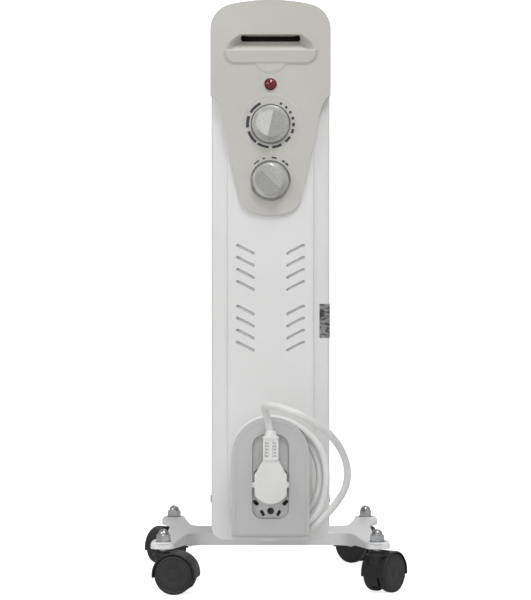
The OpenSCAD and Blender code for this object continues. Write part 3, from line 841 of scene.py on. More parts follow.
@dataclass(frozen=True)
class BrushedFinish(Finish):
    """Metal or metallic paint with fine straight brushing along X."""

    def pattern(self, g: Graph) -> bpy.types.NodeSocket:
        """Streaks that run along X.

        Args:
            g: the wiring of the material's tree.

        Returns:
            The output that carries the colour.
        """
        place = g.add("ShaderNodeTexCoord").outputs["Object"]
        stretched = g.add("ShaderNodeMapping", {"Vector": place, "Scale": (30.0, 900.0, 900.0)})
        along = {"Vector": stretched.outputs["Vector"], "Scale": 1.0, "Detail": 3.0}
        streak = g.add("ShaderNodeTexNoise", along)
        share = g.spread(streak.outputs["Fac"], 0.3, 0.7, 0.0, 1.0)
        return g.mix(share, self.colour, self.shade)


WHITE_ENAMEL = Finish(
    "white_enamel", "white_enamel", srgb(236, 236, 236), srgb(229, 229, 228), 0.36, coat=0.25,
    coat_roughness=0.2, grain=420.0, grain_height=0.00003, mottle=7.0, dust=0.05,
)
# The housing's white enamel painted lighter for the base: painted light that makes up for the shade falling
# on the base under the housing.
BASE_ENAMEL_PAINTED_LIGHT = Finish(
    "base_enamel_painted_light", "white_enamel", srgb(250, 250, 250), srgb(244, 244, 244), 0.34, coat=0.25,
    coat_roughness=0.2, grain=420.0, grain_height=0.00003, mottle=7.0, dust=0.04,
)
FIN_ENAMEL = Finish(
    "fin_enamel", "fin_enamel", srgb(234, 234, 233), srgb(226, 226, 225), 0.38, coat=0.2,
    coat_roughness=0.25, grain=380.0, grain_height=0.00004, mottle=9.0, dust=0.10,
)
PANEL_GREY = Finish(
    "panel_grey", "panel_grey", srgb(204, 203, 197), srgb(199, 197, 190), 0.42, coat=0.15,
    coat_roughness=0.3, grain=2600.0, grain_height=0.000012, mottle=12.0,
)
# The finger slot's liner: its dark colour is painted shade of the deep slot.
SLOT_PAINTED_SHADE = Finish(
    "pocket_dark", "pocket_dark", srgb(70, 68, 64), srgb(58, 56, 52), 0.6, grain=2200.0, mottle=20.0,
)
STORE_GREY = Finish(
    "store_grey", "store_grey", srgb(200, 200, 200), srgb(194, 194, 194), 0.42, grain=2400.0,
    grain_height=0.000014, mottle=14.0,
)
KNOB_SILVER = BrushedFinish(
    "knob_silver", "knob_silver", srgb(192, 192, 188), srgb(170, 170, 166), 0.36, metallic=0.2,
    coat=0.15, grain=3000.0, grain_height=0.000006,
)
MARK_PRINT = Finish(
    "mark_print", "panel_grey", srgb(54, 58, 62), srgb(72, 76, 80), 0.55, grain=3000.0, mottle=300.0,
)
LAMP_RED = Finish(
    "lamp_red", "lamp_red", srgb(132, 2, 9), srgb(104, 1, 6), 0.16, spread=0.03, coat=0.35,
    coat_roughness=0.04, grain=200.0, grain_height=0.000004, mottle=60.0,
)
ZINC_STEEL = Finish(
    "zinc_steel", "zinc_steel", srgb(184, 186, 190), srgb(164, 167, 172), 0.34, spread=0.1,
    metallic=1.0, grain=1500.0, mottle=70.0,
)
CHROME_NUT = Finish(
    "chrome_nut", "chrome_nut", srgb(205, 205, 206), srgb(182, 183, 185), 0.2, spread=0.08,
    metallic=1.0, grain=900.0, grain_height=0.00001, mottle=120.0,
)
ELEMENT_STEEL = Finish(
    "element_steel", "element_steel", srgb(150, 148, 146), srgb(128, 122, 118), 0.5, metallic=1.0,
    grain=1200.0, mottle=50.0,
)
BRASS_PLATED = Finish(
    "brass_plated", "brass_plated", srgb(205, 203, 196), srgb(188, 184, 172), 0.25, metallic=1.0,
    grain=1200.0, mottle=90.0,
)
HEATING_OIL = Finish(
    "heating_oil", "heating_oil", srgb(226, 205, 130), srgb(214, 190, 110), 0.05, spread=0.01,
    transmission=0.8, ior=1.47, grain=100.0, grain_height=0.000001,
)
INNER_PLASTIC = Finish(
    "inner_plastic", "inner_plastic", srgb(136, 126, 110), srgb(120, 110, 96), 0.5, grain=1800.0,
)
WIRE_SLEEVE = Finish(
    "wire_sleeve", "wire_sleeve", srgb(200, 92, 74), srgb(178, 72, 58), 0.7, grain=2600.0,
    grain_height=0.00005,
)
CORD_WHITE = Finish(
    "cord_white", "cord_white", srgb(238, 238, 237), srgb(230, 230, 228), 0.42, subsurface=0.06,
    grain=1300.0, grain_height=0.000015, mottle=30.0,
)
PLUG_WHITE = Finish(
    "plug_white", "plug_white", srgb(240, 240, 239), srgb(232, 232, 230), 0.4, subsurface=0.05,
    grain=2200.0, grain_height=0.000015, mottle=26.0,
)
LABEL_FILM = LabelFinish(
    "label_film", "label_film", srgb(150, 150, 148), srgb(130, 130, 128), 0.4, band=srgb(62, 62, 62),
)
CASTER_BLACK = Finish(
    "caster_black", "caster_black", srgb(38, 38, 39), srgb(29, 29, 30), 0.42, spread=0.1,
    grain=1500.0, grain_height=0.00003, mottle=40.0, dust=0.06,
)
WHEEL_BLACK = Finish(
    "wheel_black", "caster_black", srgb(46, 46, 47), srgb(36, 36, 37), 0.46, spread=0.1,
    grain=1100.0, grain_height=0.00003, mottle=50.0,
)


# ---- Studio: the camera comes first ----


@dataclass(frozen=True)
class Studio:
    """The camera, the floor and the lights, in metres."""

    camera_at: Vector = Vector((-0.0049, -1.950, 0.296))
    lens: float = 110.5
    shift_y: float = 0.005
    floor_half: float = 6.0
    wall_y: float = 2.6
    wall_top: float = 4.5
    sweep_r: float = 1.2
    sky: float = 0.42

    def camera(self) -> None:
        """A level camera in front of the control panel."""
        data = bpy.data.cameras.new("studio_camera")
        data.lens = self.lens
        data.sensor_width = 36.0
        data.shift_y = self.shift_y
        data.clip_end = 50.0
        obj = bpy.data.objects.new("studio_camera", data)
        bpy.context.scene.collection.objects.link(obj)
        obj.location = self.camera_at
        obj.rotation_euler = (math.radians(90), 0, 0)
        bpy.context.scene.camera = obj

    def floor(self) -> None:
        """A pale floor that sweeps up into a wall behind the heater."""
        line = [(-self.floor_half, 0.0)]
        line += arc(self.wall_y - self.sweep_r, self.sweep_r, self.sweep_r, -90, 0, 16)
        line += [(self.wall_y, self.wall_top)]
        bm = bmesh.new()
        verts = [bm.verts.new((-self.floor_half, y, z)) for y, z in line]
        edges = [bm.edges.new(pair) for pair in zip(verts, verts[1:])]
        swept = bmesh.ops.extrude_edge_only(bm, edges=edges)["geom"]
        far = [g for g in swept if isinstance(g, BMVert)]
        bmesh.ops.translate(bm, verts=far, vec=(2 * self.floor_half, 0, 0))
        bmesh.ops.recalc_face_normals(bm, faces=bm.faces)
        for face in bm.faces:
            face.smooth = True
        data = bpy.data.meshes.new("studio_floor")
        bm.to_mesh(data)
        obj = bpy.data.objects.new("studio_floor", data)
        bpy.context.scene.collection.objects.link(obj)
        data.materials.append(self._paper())

    def _paper(self) -> bpy.types.Material:
        """The floor's pale paper.

        Returns:
            Its material, white to the camera and greyer in the light that it sheds.
        """
        made = bpy.data.materials.new("studio_paper")
        made.use_nodes = True
        g = Graph(made.node_tree)
        shader = made.node_tree.nodes["Principled BSDF"]
        seen = g.add("ShaderNodeLightPath").outputs["Is Camera Ray"]
        place = g.add("ShaderNodeTexCoord").outputs["Object"]
        cloud = g.add("ShaderNodeTexNoise", {"Vector": place, "Scale": 3.0, "Detail": 2.0})
        pale = g.mix(cloud.outputs["Fac"], (0.93, 0.93, 0.93), (0.95, 0.95, 0.95))
        g.tree.links.new(g.mix(seen, (0.6, 0.6, 0.6), pale), shader.inputs["Base Color"])
        shader.inputs["Roughness"].default_value = 0.9
        shader.inputs["Emission Color"].default_value = (1.0, 1.0, 1.0, 1.0)
        g.tree.links.new(g.spread(seen, 0.0, 1.0, 0.1, 0.8), shader.inputs["Emission Strength"])
        return made

    def lights(self) -> None:
        """An even sky, a strong soft light above the front, and weaker ones all round."""
        world = bpy.data.worlds.new("studio_sky")
        bpy.context.scene.world = world
        world.use_nodes = True
        sky = world.node_tree.nodes["Background"]
        sky.inputs["Color"].default_value = (1.0, 1.0, 1.0, 1.0)
        g = Graph(world.node_tree)
        seen = g.add("ShaderNodeLightPath").outputs["Is Camera Ray"]
        g.tree.links.new(g.spread(seen, 0.0, 1.0, self.sky, 1.05), sky.inputs["Strength"])
        middle = Vector((0, 0, 0.3))
        for name, at, size, watts in (
            ("key_softbox", Vector((0.4, -1.2, 2.25)), 0.7, 20.0),
            ("left_softbox", Vector((-0.9, -0.9, 0.9)), 0.6, 3.0),
            ("right_softbox", Vector((2.1, -1.6, 1.0)), 1.2, 1.4),
            ("low_softbox", Vector((-0.3, -1.3, 0.12)), 0.5, 1.3),
            ("back_softbox", Vector((0.6, 1.8, 1.6)), 1.2, 6.0),
        ):
            data = bpy.data.lights.new(name, "AREA")
            data.size = size
            data.energy = watts
            obj = bpy.data.objects.new(name, data)
            bpy.context.scene.collection.objects.link(obj)
            obj.location = at
            obj.rotation_euler = (middle - at).to_track_quat("-Z", "Y").to_euler()

    def build(self) -> None:
        """Sets the whole studio up."""
        self.camera()
        self.floor()
        self.lights()
        view = bpy.context.scene.view_settings
        view.view_transform = "Standard"
        view.look = "None"


# ---- Heights and faces that several sub-assemblies share, in millimetres ----


def node_box(node: str) -> tuple[Vector, Vector]:
    """A CAD node's lowest and highest corners in millimetres."""
    low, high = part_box(node)
    return low / MM, high / MM


def height_of(node: str) -> float:
    """The height of a CAD node's middle in millimetres."""
    low, high = node_box(node)
    return (low.z + high.z) / 2


HOUSING_LOW, HOUSING_HIGH = node_box("control_housing")
PANEL_LOW, PANEL_HIGH = node_box("control_panel")
COVER_LOW = node_box("winder_cover")[0]
FACE_Y = HOUSING_LOW.y
PANEL_Y = PANEL_LOW.y
BASE_LOW, BASE_HIGH = node_box("base_plate")
BASE_Y = (BASE_LOW.y + BASE_HIGH.y) / 2
THERMOSTAT_Z = height_of("thermostat_shaft")
POWER_Z = height_of("power_shaft")
LAMP_Z = height_of("lamp_body")


# ---- Cord and plug ----


@dataclass
class MainsCord:
    """The mains cord: wound on the core, then a free loop into the plug. Millimetres."""

    diameter: float = 7.0
    length: float = 1500.0
    inner_turns: int = 3
    steps: int = 28
    core_low: float = 106.0
    core_high: float = 149.3
    inner_r: float = 28.6
    layer: float = 7.1
    gland_x: float = -8.0
    back_y: float = -154.6
    front_y: float = -176.0
    bulges: tuple[float, ...] = (0.0, 0.0, 19.0, 18.0)
    # The free loop from the plug's neck to the winding, with y from the base plate's centre
    route: tuple[tuple[float, float, float], ...] = (
        (0, -228.5, 168), (-0.4, -228.5, 173), (-1.6, -230, 179.5), (-3.2, -233.5, 186), (-4.6, -239, 191.5),
        (-5.5, -246, 195.5), (-5.4, -253.5, 198), (-3.9, -261, 199.5), (-0.3, -268, 200), (5, -274, 199.5),
        (11.5, -278.5, 198), (19, -281, 195.5), (26.5, -281.5, 192.5), (34, -279.5, 188.5), (41, -275, 184),
        (47.5, -269, 179.5), (54, -261.5, 174), (60, -253, 167), (65.5, -245, 159), (70, -237.5, 149.5),
        (73, -230.5, 139), (73.5, -225, 128), (71, -221, 117), (65.5, -218.5, 107), (58.5, -216.5, 97.5),
        (50.5, -215.5, 89), (42.5, -214.5, 81.5),
    )

    def _round_core(self, share: float, r: float, bulge: float) -> Point2:
        """A point on one turn.

        Args:
            share: how far round, from 0 at the bottom, rising on the right.
            r: the turn's radius at the core's ends.
            bulge: how far the turn hangs loose to the right.

        Returns:
            Its x and z.
        """
        straight = self.core_high - self.core_low
        quarter = math.pi * r / 2
        s = share * (4 * quarter + 2 * straight)
        if s < quarter:
            a = s / r
            x, z = r * math.sin(a), self.core_low - r * math.cos(a)
        elif s < quarter + straight:
            x, z = r, self.core_low + s - quarter
        elif s < 3 * quarter + straight:
            a = (s - quarter - straight) / r
            x, z = r * math.cos(a), self.core_high + r * math.sin(a)
        elif s < 3 * quarter + 2 * straight:
            x, z = -r, self.core_high - (s - 3 * quarter - straight)
        else:
            a = (s - 3 * quarter - 2 * straight) / r
            x, z = -r * math.cos(a), self.core_low - r * math.sin(a)
        side = math.sin(math.pi * min(1.0, max(0.0, share / 0.5))) ** 2
        return x + bulge * side, z

    def winding(self) -> list[Vector]:
        """The wound part, from the gland to where the cord leaves for the free loop.

        Returns:
            Points along it.
        """
        points = []
        for i in range((self.inner_turns + 1) * self.steps):
            along = i / self.steps
            turn, share = int(along), along % 1.0
            climb = ease((along - self.inner_turns + 0.35) / 0.3)
            x, z = self._round_core(share, self.inner_r + self.layer * climb, self.bulges[turn])
            y = self.back_y + (self.front_y - self.back_y) * min(1.0, along / self.inner_turns)
            y += self.layer * ease((along - self.inner_turns - 0.5) / 0.45)
            points.append(Vector((x, y, z)))
        points[0].x = self.gland_x
        return points

    def line(self) -> list[Vector]:
        """The cord's whole centreline.

        Returns:
            Points along it, from the gland to the plug.
        """
        low = self.core_low - self.inner_r - self.layer
        run_in = ((12, 7.0, 0.4), (23, 5.6, 2.4), (33, 3.6, 5.8))
        leaving = [Vector((x, self.front_y + dy, low + dz)) for x, dy, dz in run_in]
        return self.winding() + leaving + [Vector((x, y + BASE_Y, z)) for x, y, z in reversed(self.route)]

    def build(self, plug: list[bpy.types.Object]) -> bpy.types.Object:
        """Args:
            plug: the pieces on its far end; not used.

        Returns:
            The cord.
        """
        points = self.line()
        curve = bpy.data.curves.new("mains_cord", "CURVE")
        curve.dimensions = "3D"
        curve.bevel_depth = self.diameter / 2 * MM
        curve.bevel_resolution = 5
        curve.resolution_u = 5
        curve.use_fill_caps = True
        spline = curve.splines.new("BEZIER")
        spline.bezier_points.add(len(points) - 1)
        for knot, point in zip(spline.bezier_points, points):
            knot.co = point * MM
            knot.handle_left_type = knot.handle_right_type = "AUTO"
        obj = bpy.data.objects.new("mains_cord", curve)
        bpy.context.scene.collection.objects.link(obj)
        dressed(obj, CORD_WHITE, BODY, ["cord_winding", "cord_lead"])
        return obj


@dataclass
class Plug:
    """The moulded plug, parked in the cord store with its pins in the holder. Millimetres."""

    z: float = 121.8
    r: float = 18.6
    flat: float = 15.4
    back_y: float = -169.3
    front_y: float = -193.0
    neck_y: float = -188.5
    neck_half: float = 7.4
    neck_top: float = 169.0
    neck_low: float = 146.0
    window_low: float = 149.2
    window_pitch: float = 3.1
    windows: int = 5
    pin_r: float = 2.4
    pin_x: float = 9.5
    pin_length: float = 18.6

    def body(self) -> Shape:
        """The round body with its flats.

        Returns:
            The shape, in place.
        """
        depth = self.back_y - self.front_y
        r = self.r
        profile = [(0, depth), (r * 0.5, depth - 0.15), (r - 4, depth - 0.7)]
        profile += [(r - 2.6 + x, depth - 3.2 + z) for x, z in arc(0, 0, 2.5, 80, 5, 6)]
        profile += [(r, depth - 5), (r, 1.0), (r - 1.0, 0), (0, 0)]
        body = Shape.lathe(profile, 72).moved(FACING_FRONT).at(0, self.back_y, self.z)
        between = rounded_box(-self.flat, self.flat, self.z - 25, self.z + 25, 1)
        body.cut(Shape.slab([between], Plane.FRONT, self.front_y - 7, self.back_y + 9), Cut.COMMON)
        body.bevel(1.0, 3, 35, lambda v: abs(abs(v.x) - self.flat) < 0.1)
        return body

    def shoulders(self) -> Shape:
        """The neck's foot, which widens into the round body.

        Returns:
            The shape, in place.
        """
        half = [(self.neck_half, 150.0)]
        half += bezier([(self.neck_half, 146.5), (8.2, 143.5), (11.0, 140.5), (13.6, 134.5)], 12)
        half += [(13.0, 122.0)]
        outline = half + [(-x, z) for x, z in reversed(half)]
        foot = Shape.slab([outline], Plane.FRONT, self.neck_y - 4.3, self.neck_y + 5.5)
        return foot.bevel(2.2, 4, 50, lambda v: abs(v.y - self.neck_y) > 4)

    def neck(self) -> Shape:
        """The ribbed neck: a frame with two columns of windows over a solid core, and a collar.

        Returns:
            The shape, in place.
        """
        half, y = self.neck_half, self.neck_y
        low, high = self.neck_low, self.neck_top - 3.6
        inner = rounded_box(1 - half, half - 1, y - 4.0, y + 4.0, 3.2)
        core = Shape.slab([inner], Plane.FLOOR, low, self.neck_top - 2)
        windows = [
            rounded_box(s * 3.35 - 1.85, s * 3.35 + 1.85, z, z + 1.75, 0.5, 3)
            for s in (-1, 1)
            for z in [self.window_low + self.window_pitch * i for i in range(self.windows)]
        ]
        outer = rounded_box(-half, half, low, high, 1.2, 4)
        for face, y0, y1 in ((y - 5.5, y - 5.5, y - 3.5), (y + 5.4, y + 3.4, y + 5.4)):
            grid = Shape.slab([outer, *windows], Plane.FRONT, y0, y1)
            core.join(grid.bevel(0.45, 2, 50, lambda v, face=face: abs(v.y - face) < 0.01))
        for s in (-1, 1):
            middle = s * (half - 1.0)
            rail = rounded_box(middle - 1.0, middle + 1.0, y - 4.5, y + 4.6, 0.9)
            core.join(Shape.slab([rail], Plane.FLOOR, low, high))
        rim = rounded_box(-half - 0.5, half + 0.5, y - 6.2, y + 6.2, 4.6, 10)
        collar = Shape.slab([rim], Plane.FLOOR, self.neck_top - 4.2, self.neck_top)
        core.join(collar.bevel(1.3, 4, 50))
        sleeve = Shape.lathe([(3.45, 6.5), (4.3, 6.4), (4.9, 5.6), (6.6, 0.0), (0, 0)], 40)
        return core.join(sleeve, Matrix.Translation((0, self.neck_y, self.neck_top - 1.5)))

    def nubs(self) -> Shape:
        """The two side nubs of the round body.

        Returns:
            The shape, in place.
        """
        both = Shape()
        for s in (-1, 1):
            x0, x1 = sorted((s * (self.flat - 1), s * 17.6))
            end = rounded_box(x0, x1, self.z - 2.6, self.z + 2.6, 1.0, 4)
            nub = Shape.slab([end], Plane.FRONT, self.front_y + 4, self.front_y + 13.4)
            both.join(nub.bevel(0.7, 3, 50))
        return both

    def pins(self) -> Shape:
        """Two pins with rounded tips, and the earth strips at the top and bottom.

        Returns:
            The shape, in place.
        """
        both = Shape()
        r = self.pin_r
        tip = [(r - 1.2 + x, self.pin_length - 1.2 + z) for x, z in arc(0, 0, 1.2, 88, 0, 6)]
        profile = [(0, self.pin_length), *tip, (r, -2), (0, -2)]
        away = Matrix.Rotation(math.radians(-90), 4, "X")
        for s in (-1, 1):
            both.join(Shape.lathe(profile, 28).moved(away).at(s * self.pin_x, self.back_y, self.z))
            z = self.z + s * (self.r + 0.3)
            strip = rounded_box(-2, 2, z - 0.45, z + 0.45, 0.4, 3)
            both.join(Shape.slab([strip], Plane.FRONT, self.back_y - 10, self.back_y))
        return both

    def build(self) -> list[bpy.types.Object]:
        """Makes the plug's pieces.

        Returns:
            The pieces.
        """
        body = self.body()
        body.join(self.shoulders()).join(self.neck()).join(self.nubs())
        return [
            body.piece("moulded_plug", PLUG_WHITE, replaces=["plug_body"]),
            self.pins().piece("plug_pins", BRASS_PLATED, replaces=["plug_contacts"]),
        ]


# ---- Control housing ----


@dataclass
class ControlHousing:
    """The white sheet-steel housing with its creased sides and slanted vents. Millimetres."""

    half: float = 58.0
    wall: float = 1.2
    top_r: float = 24.0
    foot_r: float = 13.0
    vent_x: float = 24.6
    vent_len: float = 20.0
    vent_w: float = 3.4
    vent_tilt: float = 27.2
    vent_pitch: float = 11.8
    vent_tops: tuple[float, float] = (348.3, 289.0)
    vents_in_group: int = 4
    grip_half: float = 50.5
    grip_low: float = 539.5
    grip_high: float = 561.5
    screw_rows: tuple[float, float] = (100.0, 540.0)

    def plan(self, inset: float, depth: float) -> Outline:
        """The housing's section seen from above, drawn in by inset and open to the rear.

        Args:
            inset: how far in it is drawn.
            depth: how far back its sides run.

        Returns:
            The outline.
        """
        d = inset
        half = [(0.0, d), (40.6 - 0.4 * d, d)]
        crease = [(41.2 - 0.5 * d, d), (42.1 - d, 0.4 + d), (42.2 - d, 2.4 + d), (43.6 - d, 2.7 + d)]
        half += bezier(crease, 6)
        half += arc(54.3, 8.7, 3.7 - d, -80, 0, 8)
        half += [(self.half - d, depth)]
        return [(x, y + FACE_Y) for x, y in mirrored(half)[1:]]

    def front(self, inset: float) -> Outline:
        """The housing's outline seen from the front, drawn in by inset.

        Args:
            inset: how far in it is drawn.

        Returns:
            The outline.
        """
        low, high, half = HOUSING_LOW.z, HOUSING_HIGH.z, self.half
        return (
            arc(half - self.foot_r, low + self.foot_r, self.foot_r - inset, -90, 0, 14)
            + arc(half - self.top_r, high - self.top_r, self.top_r - inset, 0, 90, 16)
            + arc(self.top_r - half, high - self.top_r, self.top_r - inset, 90, 180, 16)
            + arc(self.foot_r - half, low + self.foot_r, self.foot_r - inset, 180, 270, 14)
        )

    def vent_places(self) -> list[tuple[float, float, float]]:
        """Where each vent's middle is, and which way it leans.

        Returns:
            The x, z and tilt of each.
        """
        return [
            (side * self.vent_x, top - i * self.vent_pitch, side * self.vent_tilt)
            for side in (-1, 1)
            for top in self.vent_tops
            for i in range(self.vents_in_group)
        ]

    def shell(self) -> Shape:
        """The folded shell.

        Returns:
            The shape, in place.
        """
        rear = HOUSING_HIGH.y - FACE_Y
        low, high = HOUSING_LOW.z - 1, HOUSING_HIGH.z + 1
        outer = Shape.slab([self.plan(0, rear)], Plane.FLOOR, low, high)
        outer.cut(Shape.slab([self.front(0)], Plane.FRONT, FACE_Y - 2, FACE_Y + rear + 2), Cut.COMMON)
        inner = Shape.slab([self.plan(self.wall, rear + 5)], Plane.FLOOR, low, high)
        inner.cut(Shape.slab([self.front(self.wall)], Plane.FRONT, FACE_Y - 2, FACE_Y + rear + 8), Cut.COMMON)
        outer.cut(inner)
        holes = Shape()
        half, reach = self.vent_len / 2, self.vent_w / 2
        slot = rounded_box(-half, half, -reach, reach, reach - 0.02, 6)
        for x, z, tilt in self.vent_places():
            holes.join(Shape.slab([placed(slot, x, z, tilt)], Plane.FRONT, FACE_Y - 1, FACE_Y + 2))
        outer.cut(holes)
        grip = rounded_box(-self.grip_half, self.grip_half, self.grip_low, self.grip_high, 2)
        outer.cut(Shape.slab([grip], Plane.FRONT, FACE_Y - 1, FACE_Y + 8))
        screws = Shape()
        for s in (-1, 1):
            for z in self.screw_rows:
                hole = Shape.lathe([(0, -3), (2, -3), (2, 3), (0, 3)], 20).moved(FACING_RIGHT)
                screws.join(hole.at(s * self.half, HOUSING_HIGH.y - 8, z))
        outer.cut(screws)
        return outer.bevel(0.45, 2, 40)

    def louvres(self) -> Shape:
        """One blade behind each vent, which slants in from the slot's lower lip.

        Returns:
            The shape, in place.
        """
        blades = Shape()
        half, reach = self.vent_len / 2, self.vent_w / 2
        for x, z, tilt in self.vent_places():
            section = [(0.9, -reach - 0.9), (1.5, -reach - 0.9), (4.4, reach + 0.9)]
            section += [(1.5, reach + 1.4), (1.2, reach + 0.7), (3.4, reach + 0.2)]
            blade = Shape.slab([section], Plane.SIDE, -half - 0.6, half + 0.6)
            turn = Matrix.Rotation(math.radians(-tilt), 4, "Y")
            blades.join(blade.bevel(0.12, 1, 40), Matrix.Translation((x, FACE_Y, z)) @ turn)
        return blades

    def build(self) -> None:
        """Makes the housing's pieces."""
        self.shell().piece("housing_shell", WHITE_ENAMEL, replaces=["control_housing"], crease=50)
        self.louvres().piece("vent_louvres", WHITE_ENAMEL)
        label = Shape.of_node("rating_label")
        label.piece("rating_plate", LABEL_FILM, replaces=["rating_label"])


# ---- Control panel ----


@dataclass
class ControlPanel:
    """The grey fascia with its hand grip, lamp and dial marks. Millimetres."""

    half: float = 58.8
    lip_half: float = 46.5
    lip_low: float = 528.3
    lip_top: float = 543.3
    lip_corner: float = 12.0
    scoop_half: float = 44.6
    scoop_top: float = 558.0
    slot_half: float = 29.1
    slot_low: float = 552.6
    moon_r: float = 18.6
    moon_z: float = 537.9
    patch_half: float = 50.0
    patch_low: float = 515.0
    patch_high: float = 562.0
    mark_r: float = 22.5
    top_r: float = 182.0
    corner_x: float = 33.8
    corner_drop: float = 28.7
    thermostat_well: float = 19.6
    power_well: float = 19.8
    well_depth: float = 2.6
    shaft_hole_r: float = 4.5
    lamp_hole_r: float = 6.1
    # Dashes round the dials: the angle clockwise from the top, the sweep and the width
    thermostat_dashes: tuple[tuple[float, float, float], ...] = (
        (27, 6.0, 2.2), (43, 6.0, 2.3), (59, 6.5, 2.4), (75, 6.8, 2.5), (91, 9.0, 2.5), (107.5, 10.5, 2.5),
        (131, 17.0, 2.4), (164, 24.0, 2.4), (199, 29.0, 2.5), (235.5, 33.0, 2.6), (276, 29.0, 3.0),
        (317.5, 34.0, 2.6),
    )
    power_dashes: tuple[tuple[float, float, float], ...] = (
        (-37, 16.0, 1.2), (-17, 5.0, 1.6), (9, 13.0, 1.6), (34, 8.0, 2.0), (45, 8.0, 2.0),
    )

    def outline(self) -> Outline:
        """The fascia's outline, which starts at the middle of its top.

        Returns:
            The closed outline.
        """
        top, wide = PANEL_HIGH.z, self.half
        half = arc(0, top - self.top_r, self.top_r, 90, 77.5, 10)
        half += arc(self.corner_x, top - self.corner_drop, wide - self.corner_x, 77.5, 0, 16)
        half += bezier([(wide, 499), (50, 495.5), (46.8, 478), (43.6, 455.8)], 18)
        half += bezier([(31, 403), (28, 387), (20, 382.5), (0, 381.6)], 18)
        return half[:-1] + [(-x, z) for x, z in reversed(half[1:])]

    def fascia(self) -> Shape:
        """The moulded front: pillowed edges, a wrapped rim and round wells for the dials.

        Returns:
            The shape, in place.
        """
        plate = Shape.slab([self.outline()], Plane.FRONT, PANEL_Y, PANEL_HIGH.y)
        plate.bevel(3.6, 7, 50, lambda v: v.y < PANEL_Y + 0.01)
        housing = ControlHousing()
        inside = Shape.slab([housing.plan(-0.12, 80)], Plane.FLOOR, 300, 640)
        plate.cut(inside)
        for z, r in ((THERMOSTAT_Z, self.thermostat_well), (POWER_Z, self.power_well)):
            plate.cut(Shape.slab([circle(0, z, r, 72)], Plane.FRONT, PANEL_Y - 1, PANEL_Y + self.well_depth))
            plate.cut(Shape.slab([circle(0, z, self.shaft_hole_r, 32)], Plane.FRONT, PANEL_Y - 1, FACE_Y + 1))
        lamp_hole = circle(0, LAMP_Z, self.lamp_hole_r, 48)
        plate.cut(Shape.slab([lamp_hole], Plane.FRONT, PANEL_Y - 1, FACE_Y + 1))
        plate.bevel(0.35, 2, 55, lambda v: v.y < PANEL_Y + 0.01)
        half, low, high = self.patch_half - 0.5, self.patch_low + 0.5, self.patch_high - 0.5
        window = rounded_box(-half, half, low, high, 1)
        return plate.cut(Shape.slab([window], Plane.FRONT, PANEL_Y - 1, FACE_Y + 1))

    def relief(self, x: float, z: float) -> float:
        """How far the grip's moulding stands out of the fascia at a point.

        Args:
            x, z: the point, seen from the front.

        Returns:
            The height in millimetres, negative where the moulding sinks in.
        """
        x = abs(x)
        qx, qz = x - (self.lip_half - self.lip_corner), self.lip_low + self.lip_corner - z
        edge = min(self.lip_half - x, z - self.lip_low)
        if qx > 0 and qz > 0:
            edge = self.lip_corner - math.hypot(qx, qz)
        rise = 1.7 * ease(edge / 3.0) * (1 + 0.9 * ease((z - self.lip_low) / 15))
        rise -= 0.7 * ease((z - self.lip_top + 1.5) / 1.5) ** 2
        moon = 0.9 * ease((self.moon_r - math.hypot(x, z - self.moon_z)) / 2.4)
        if z <= self.lip_top:
            return max(rise, moon, 0.0)
        up = min(1.0, (z - self.lip_top) / (self.scoop_top - self.lip_top))
        side = self.scoop_half - (self.scoop_half - self.slot_half - 1) * up**1.7
        deep = (4.5 + 8.0 * ease(up * 1.25)) * ease((side - x) / 9)
        return -deep if z <= self.scoop_top else 0.0

    def grip(self) -> Shape:
        """The grip's moulding: a rolled lip, the half-round boss under it and the hollow above it.

        Returns:
            The shape, in place.
        """
        shape = Shape()
        bm = shape.bm
        spans = (
            (self.patch_low, 526.0, 11),
            (526.0, 531.0, 10),
            (531.0, 541.5, 10),
            (541.5, self.lip_top, 6),
            (self.lip_top + 0.2, self.scoop_top, 20),
            (self.scoop_top + 0.2, self.patch_high, 4),
        )
        heights = sorted({round(a + (b - a) * i / n, 3) for a, b, n in spans for i in range(n + 1)})
        columns = [-self.patch_half + i for i in range(int(2 * self.patch_half) + 1)]
        rows = [[bm.verts.new((x, PANEL_Y - 0.04 - self.relief(x, z), z)) for x in columns] for z in heights]
        for low, high in zip(rows, rows[1:]):
            for i in range(len(columns) - 1):
                bm.faces.new((low[i], low[i + 1], high[i + 1], high[i]))
        behind = bmesh.ops.extrude_face_region(bm, geom=bm.faces[:], use_keep_orig=True)["geom"]
        back = [g for g in behind if isinstance(g, BMVert)]
        bmesh.ops.translate(bm, verts=back, vec=(0, 2.0, 0))
        shape.closed()
        slot = rounded_box(-self.slot_half, self.slot_half, self.slot_low, self.scoop_top, 2.65, 8)
        return shape.cut(Shape.slab([slot], Plane.FRONT, PANEL_Y - 9, FACE_Y + 30))

    def slot(self) -> Shape:
        """The finger slot's liner behind the scoop, coloured dark as painted shade of the deep slot.

        Returns:
            The shape, in place.
        """
        half, low, high = self.slot_half, self.slot_low, self.scoop_top
        outer = rounded_box(-half - 2, half + 2, low - 2.2, high + 2.2, 2.0)
        inner = rounded_box(-half - 0.5, half + 0.5, low - 0.6, high + 0.6, 1.6)
        hollow = Shape.slab([inner], Plane.FRONT, PANEL_Y + 9, FACE_Y + 25.5)
        return Shape.slab([outer], Plane.FRONT, PANEL_Y + 13, FACE_Y + 27).cut(hollow)

    def dash(self, z: float, middle: float, sweep: float, width: float) -> Outline:
        """One dash on the ring round a dial.

        Args:
            z: the dial's height.
            middle: the dash's angle, clockwise from the top.
            sweep: how many degrees it spans.
            width: how wide it is.

        Returns:
            Its outline.
        """
        start, end = 90 - middle - sweep / 2, 90 - middle + sweep / 2
        outer = arc(0, z, self.mark_r + width / 2, start, end, 8)
        return outer + arc(0, z, self.mark_r - width / 2, end, start, 8)

